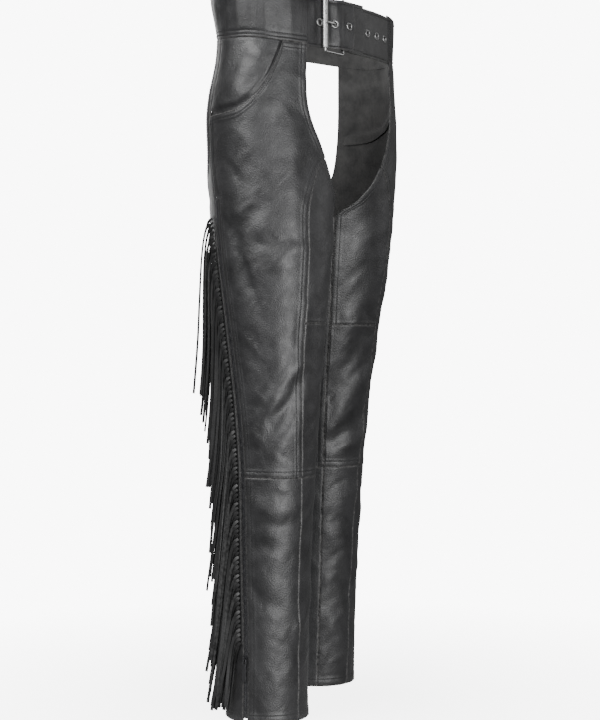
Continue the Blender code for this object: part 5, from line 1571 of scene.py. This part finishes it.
def left_strap():
    """The strap that is folded round the hinge bar, with a slot where the prong turns."""
    path, fold = left_strap_path()
    along = unit(np.gradient(path, axis=0))
    out = np.stack((-along[:, 1], along[:, 0], np.zeros(len(path))), axis=-1)
    z = strap_heights(STRAP_TOP, STRAP_BOTTOM)
    profile, edge = strap_profile(z, STRAP_TOP, STRAP_BOTTOM)
    wider = np.where(np.arange(len(path)) > fold, WRAP_WIDER, 0.0)
    stretch = (z - (STRAP_TOP + STRAP_BOTTOM) / 2.0) / ((STRAP_TOP - STRAP_BOTTOM) / 2.0)
    level = z[:, None] + stretch[:, None] * wider[None, :]
    half = STRAP_WALL / 2.0
    outer = path[None] + out[None] * half
    inner = path[None] - out[None] * half
    outer = np.repeat(outer, z.size, axis=0) + out[None] * profile[:, None, None]
    inner = np.repeat(inner, z.size, axis=0)
    outer[..., 2], inner[..., 2] = level, level
    # Edges painted paler: rubbed wear and a painted highlight.
    wear_and_highlight = np.repeat(np.exp(-(edge / 0.0016) ** 2)[:, None], len(path), axis=1)
    made = wall_mesh("left_strap_leather", outer, inner, strap_leather, wear_and_highlight)
    bpy.ops.mesh.primitive_cube_add(size=1.0)
    slot = bpy.context.object
    slot.location = front_place(HINGE_X + 0.0002, HINGE_OFFSET, BUCKLE_MID)
    slot.scale = (0.0130, 0.0160, 0.0060)
    pierce(made, [left_hole(x) for x in LEFT_EYELETS], [slot])
    declare(made, ("left_strap",))
    return made


def strap_stitching():
    rows = Thread()
    inset = STRAP_ROWS[0]
    x = np.linspace(-BAND_END + 0.002, STRAP_TIP - 0.006, 120)
    for z in (STRAP_TOP - inset, STRAP_BOTTOM + inset):
        surface, _, out = strap_frame(x)
        surface = surface - out * 0.0002
        surface[:, 2] = z
        rows.row(surface, out)
    for start, end, offset in ((WRAP_END - 0.001, HINGE_X + 0.006, HINGE_OFFSET + WIRE_RADIUS + SEAM_GAP
                                + STRAP_WALL - 0.0002),
                               (BAND_END - 0.002, WRAP_END + 0.003, STRAP_SEAT + STRAP_WALL - 0.0002)):
        places = np.linspace(start, end, 90)
        for z in (STRAP_TOP - inset, STRAP_BOTTOM + inset):
            points = front_place(places, offset, z)
            level = np.full_like(places, BUCKLE_LEVEL)
            rows.row(points, oval_normal(front_place(places, 0.0), level))
    return rows.piece("strap_stitching")


# Metal on the belt

def lathe(name, middle, axis, profile, sides, material, nodes):
    """A closed ring about an axis from a closed profile of radius and height pairs."""
    axis = axis.normalized()
    across = axis.orthogonal().normalized()
    up = axis.cross(across)
    points, faces = [], []
    count = len(profile)
    for step in range(sides):
        turn = 2.0 * math.pi * step / sides
        spoke = across * math.cos(turn) + up * math.sin(turn)
        points += [middle + spoke * radius + axis * height for radius, height in profile]
    for step in range(sides):
        after = (step + 1) % sides
        for place in range(count):
            beside = (place + 1) % count
            faces.append((step * count + place, step * count + beside,
                          after * count + beside, after * count + place))
    made = add_mesh(name, points, faces, material, 35.0)
    return declare(made, nodes)


def eyelet_profile():
    """A pressed eyelet: a domed flange whose inner edge rolls down into the hole."""
    points = []
    middle = (EYELET_RADIUS + EYELET_BORE) / 2.0
    half = (EYELET_RADIUS - EYELET_BORE) / 2.0
    for step in range(11):
        turn = math.pi * step / 10
        points.append((middle + half * math.cos(turn), -EYELET_WALL / 2.0 + 0.0013 * math.sin(turn)))
    points.append((EYELET_BORE, -EYELET_WALL / 2.0 - 0.0016))
    points.append((EYELET_BORE + 0.0003, -EYELET_WALL / 2.0 - 0.0016))
    points.append((EYELET_BORE + 0.0003, -EYELET_WALL / 2.0 - 0.0002))
    return points


def eyelets():
    lift = EYELET_LIFT + EYELET_WALL / 2.0
    for number, x in enumerate(RIGHT_EYELETS):
        middle, out = strap_hole(x)
        node = "right_eyelet_%d" % (number + 1)
        lathe(node + "_ring", middle + out * lift, out, eyelet_profile(), 32, eyelet_steel,
              (node,))
    for number, x in enumerate(LEFT_EYELETS):
        middle, out = left_hole(x)
        node = "left_eyelet_%d" % (number + 1)
        lathe(node + "_ring", middle + out * (STRAP_SEAT + STRAP_WALL + lift), out, eyelet_profile(), 32,
              eyelet_steel, (node,))


def buckle_frame():
    """A closed loop of round wire: the roller's bar, two rails and the hinge bar."""
    left = Vector(front_place(ROLLER_X, ROLLER_OFFSET))
    right = Vector(front_place(HINGE_X, HINGE_OFFSET))
    along = right - left
    width = along.length
    along.normalize()
    flat = Vector((along.y, -along.x, 0.0))
    up = Vector((0.0, 0.0, 1.0))
    corners = (
        (FRAME_CORNER, FRAME_TOP - FRAME_CORNER, 180.0, 90.0),
        (width - FRAME_CORNER, FRAME_TOP - FRAME_CORNER, 90.0, 0.0),
        (width - FRAME_CORNER, FRAME_BOTTOM + FRAME_CORNER, 0.0, -90.0),
        (FRAME_CORNER, FRAME_BOTTOM + FRAME_CORNER, -90.0, -180.0),
    )
    steps, sides = 8, 18
    path = []
    for x, z, first, last in corners:
        for step in range(steps + 1):
            turn = math.radians(mix(first, last, step / steps))
            spoke = along * math.cos(turn) + up * math.sin(turn)
            path.append((left + along * x + up * z + spoke * FRAME_CORNER, spoke))
    points, faces = [], []
    for point, spoke in path:
        for step in range(sides):
            turn = 2.0 * math.pi * (step + 0.5) / sides
            points.append(point + (spoke * math.cos(turn) + flat * math.sin(turn)) * WIRE_RADIUS)
    count = len(path)
    for place in range(count):
        after = (place + 1) % count
        for step in range(sides):
            turn = (step + 1) % sides
            faces.append((place * sides + step, place * sides + turn,
                          after * sides + turn, after * sides + step))
    made = add_mesh("buckle_frame_wire", points, faces, steel)
    return declare(made, ("buckle_frame",))


def buckle_roller():
    low, high = FRAME_BOTTOM + FRAME_CORNER + 0.0015, FRAME_TOP - FRAME_CORNER - 0.0015
    half = (high - low) / 2.0
    soft = 0.0005
    profile = [
        (ROLLER_BORE, -half), (ROLLER_RADIUS - soft, -half), (ROLLER_RADIUS, -half + soft),
        (ROLLER_RADIUS, half - soft), (ROLLER_RADIUS - soft, half), (ROLLER_BORE, half),
    ]
    middle = Vector(front_place(ROLLER_X, ROLLER_OFFSET, (low + high) / 2.0))
    return lathe("buckle_roller_tube", middle, Vector((0.0, 0.0, 1.0)), profile, 40, steel,
                 ("buckle_roller",))


# Stage, light and camera

def stage():
    """A pale round floor that fades out into the white surroundings."""
    sides, rings = 96, 12
    points = [Vector((0.0, 0.0, FLOOR_Z))]
    faces = []
    for ring in range(1, rings + 1):
        radius = FLOOR_RADIUS * ring / rings
        for step in range(sides):
            turn = 2.0 * math.pi * step / sides
            points.append(Vector((radius * math.cos(turn), radius * math.sin(turn), FLOOR_Z)))
    for step in range(sides):
        after = (step + 1) % sides
        faces.append((0, 1 + step, 1 + after))
        for ring in range(rings - 1):
            low, high = 1 + ring * sides, 1 + (ring + 1) * sides
            faces.append((low + step, high + step, high + after, low + after))
    made, nodes, links = new_material("pale_floor")
    shader = nodes["Principled BSDF"]
    shader.inputs["Base Color"].default_value = (0.90, 0.90, 0.90, 1.0)
    shader.inputs["Roughness"].default_value = 0.9
    shader.inputs["Specular IOR Level"].default_value = 0.1
    place = nodes.new("ShaderNodeTexCoord").outputs["Object"]
    reach = nodes.new("ShaderNodeVectorMath")
    reach.operation = "LENGTH"
    flat = nodes.new("ShaderNodeVectorMath")
    flat.operation = "MULTIPLY"
    flat.inputs[1].default_value = (1.0, 1.0, 0.0)
    links.new(place, flat.inputs[0])
    links.new(flat.outputs["Vector"], reach.inputs[0])
    fade = range_node(nodes, links, reach.outputs["Value"], FLOOR_COVER, 0.0, FLOOR_FADE[0], FLOOR_FADE[1])
    links.new(fade, shader.inputs["Alpha"])
    floor = add_mesh("floor", points, faces, made, 60.0)


def area_light(name, place, target, width, height, power, colour=(1.0, 1.0, 1.0)):
    data = bpy.data.lights.new(name, "AREA")
    data.shape = "RECTANGLE"
    data.size = width
    data.size_y = height
    data.energy = power
    data.color = colour
    made = bpy.data.objects.new(name, data)
    bpy.context.scene.collection.objects.link(made)
    made.location = place
    made.rotation_mode = "QUATERNION"
    made.rotation_quaternion = (Vector(target) - Vector(place)).to_track_quat("-Z", "Y")


def lights():
    """A large soft box beside the camera, weaker ones round the object and a pale sky.

    The surroundings are white to the eye but light the object only a little, as on a
    photographer's white table, so that the black leather keeps its dark edges.
    """
    legs, hips = (0.0, 0.0, -0.60), (0.0, 0.0, -0.10)
    area_light("key", (-1.10, -2.35, -0.45), legs, 1.6, 1.4, 88.0)
    area_light("upper", (-2.25, 0.10, 1.10), hips, 1.7, 0.9, 95.0)
    area_light("rim", (1.9, -1.4, 0.2), legs, 0.8, 1.8, 9.0)
    area_light("back", (0.6, 2.3, 0.4), legs, 1.4, 1.8, 20.0)
    area_light("top", (0.0, -0.1, 2.0), legs, 1.8, 1.8, 26.0)
    world = bpy.data.worlds.new("studio")
    world.use_nodes = True
    nodes, links = world.node_tree.nodes, world.node_tree.links
    seen = nodes["Background"]
    seen.inputs["Color"].default_value = (1.0, 1.0, 1.0, 1.0)
    seen.inputs["Strength"].default_value = SKY_SEEN
    lit = nodes.new("ShaderNodeBackground")
    lit.inputs["Color"].default_value = (1.0, 1.0, 1.0, 1.0)
    lit.inputs["Strength"].default_value = SKY_LIGHT
    pick = nodes.new("ShaderNodeMixShader")
    path = nodes.new("ShaderNodeLightPath")
    links.new(path.outputs["Is Camera Ray"], pick.inputs["Fac"])
    links.new(lit.outputs["Background"], pick.inputs[1])
    links.new(seen.outputs["Background"], pick.inputs[2])
    links.new(pick.outputs["Shader"], nodes["World Output"].inputs["Surface"])
    bpy.context.scene.world = world


def camera():
    data = bpy.data.cameras.new("camera")
    data.lens = CAMERA_LENS
    data.sensor_width = CAMERA_SENSOR
    data.shift_y = CAMERA_SHIFT
    made = bpy.data.objects.new("camera", data)
    bpy.context.scene.collection.objects.link(made)
    made.location = CAMERA_PLACE
    made.rotation_mode = "QUATERNION"
    made.rotation_quaternion = Vector(CAMERA_LOOK).to_track_quat("-Z", "Y")
    bpy.context.scene.camera = made


# Making

def build_side(side):
    band = waistband(side)
    waistband_stitching(side)
    thongs = fringe(side)
    leg_panels(side)
    pocket_facing(side)
    leg_stitching(side)
    zip_tape(side)
    zip_teeth(side)
    softened(side + "_zip_slider", side + "_zip_slider_body", zip_metal, BODY, 0.0005)
    softened(side + "_zip_pull", side + "_zip_pull_tab", zip_metal, side + "_pull", 0.0003)
    return band


camera()
bands = {side: build_side(side) for side in SIDES}
right_strap()
left_strap()
strap_stitching()
eyelets()
buckle_frame()
buckle_roller()
softened("buckle_prong", "buckle_prong_bar", steel, BODY, 0.0007, 3)
stage()
lights()
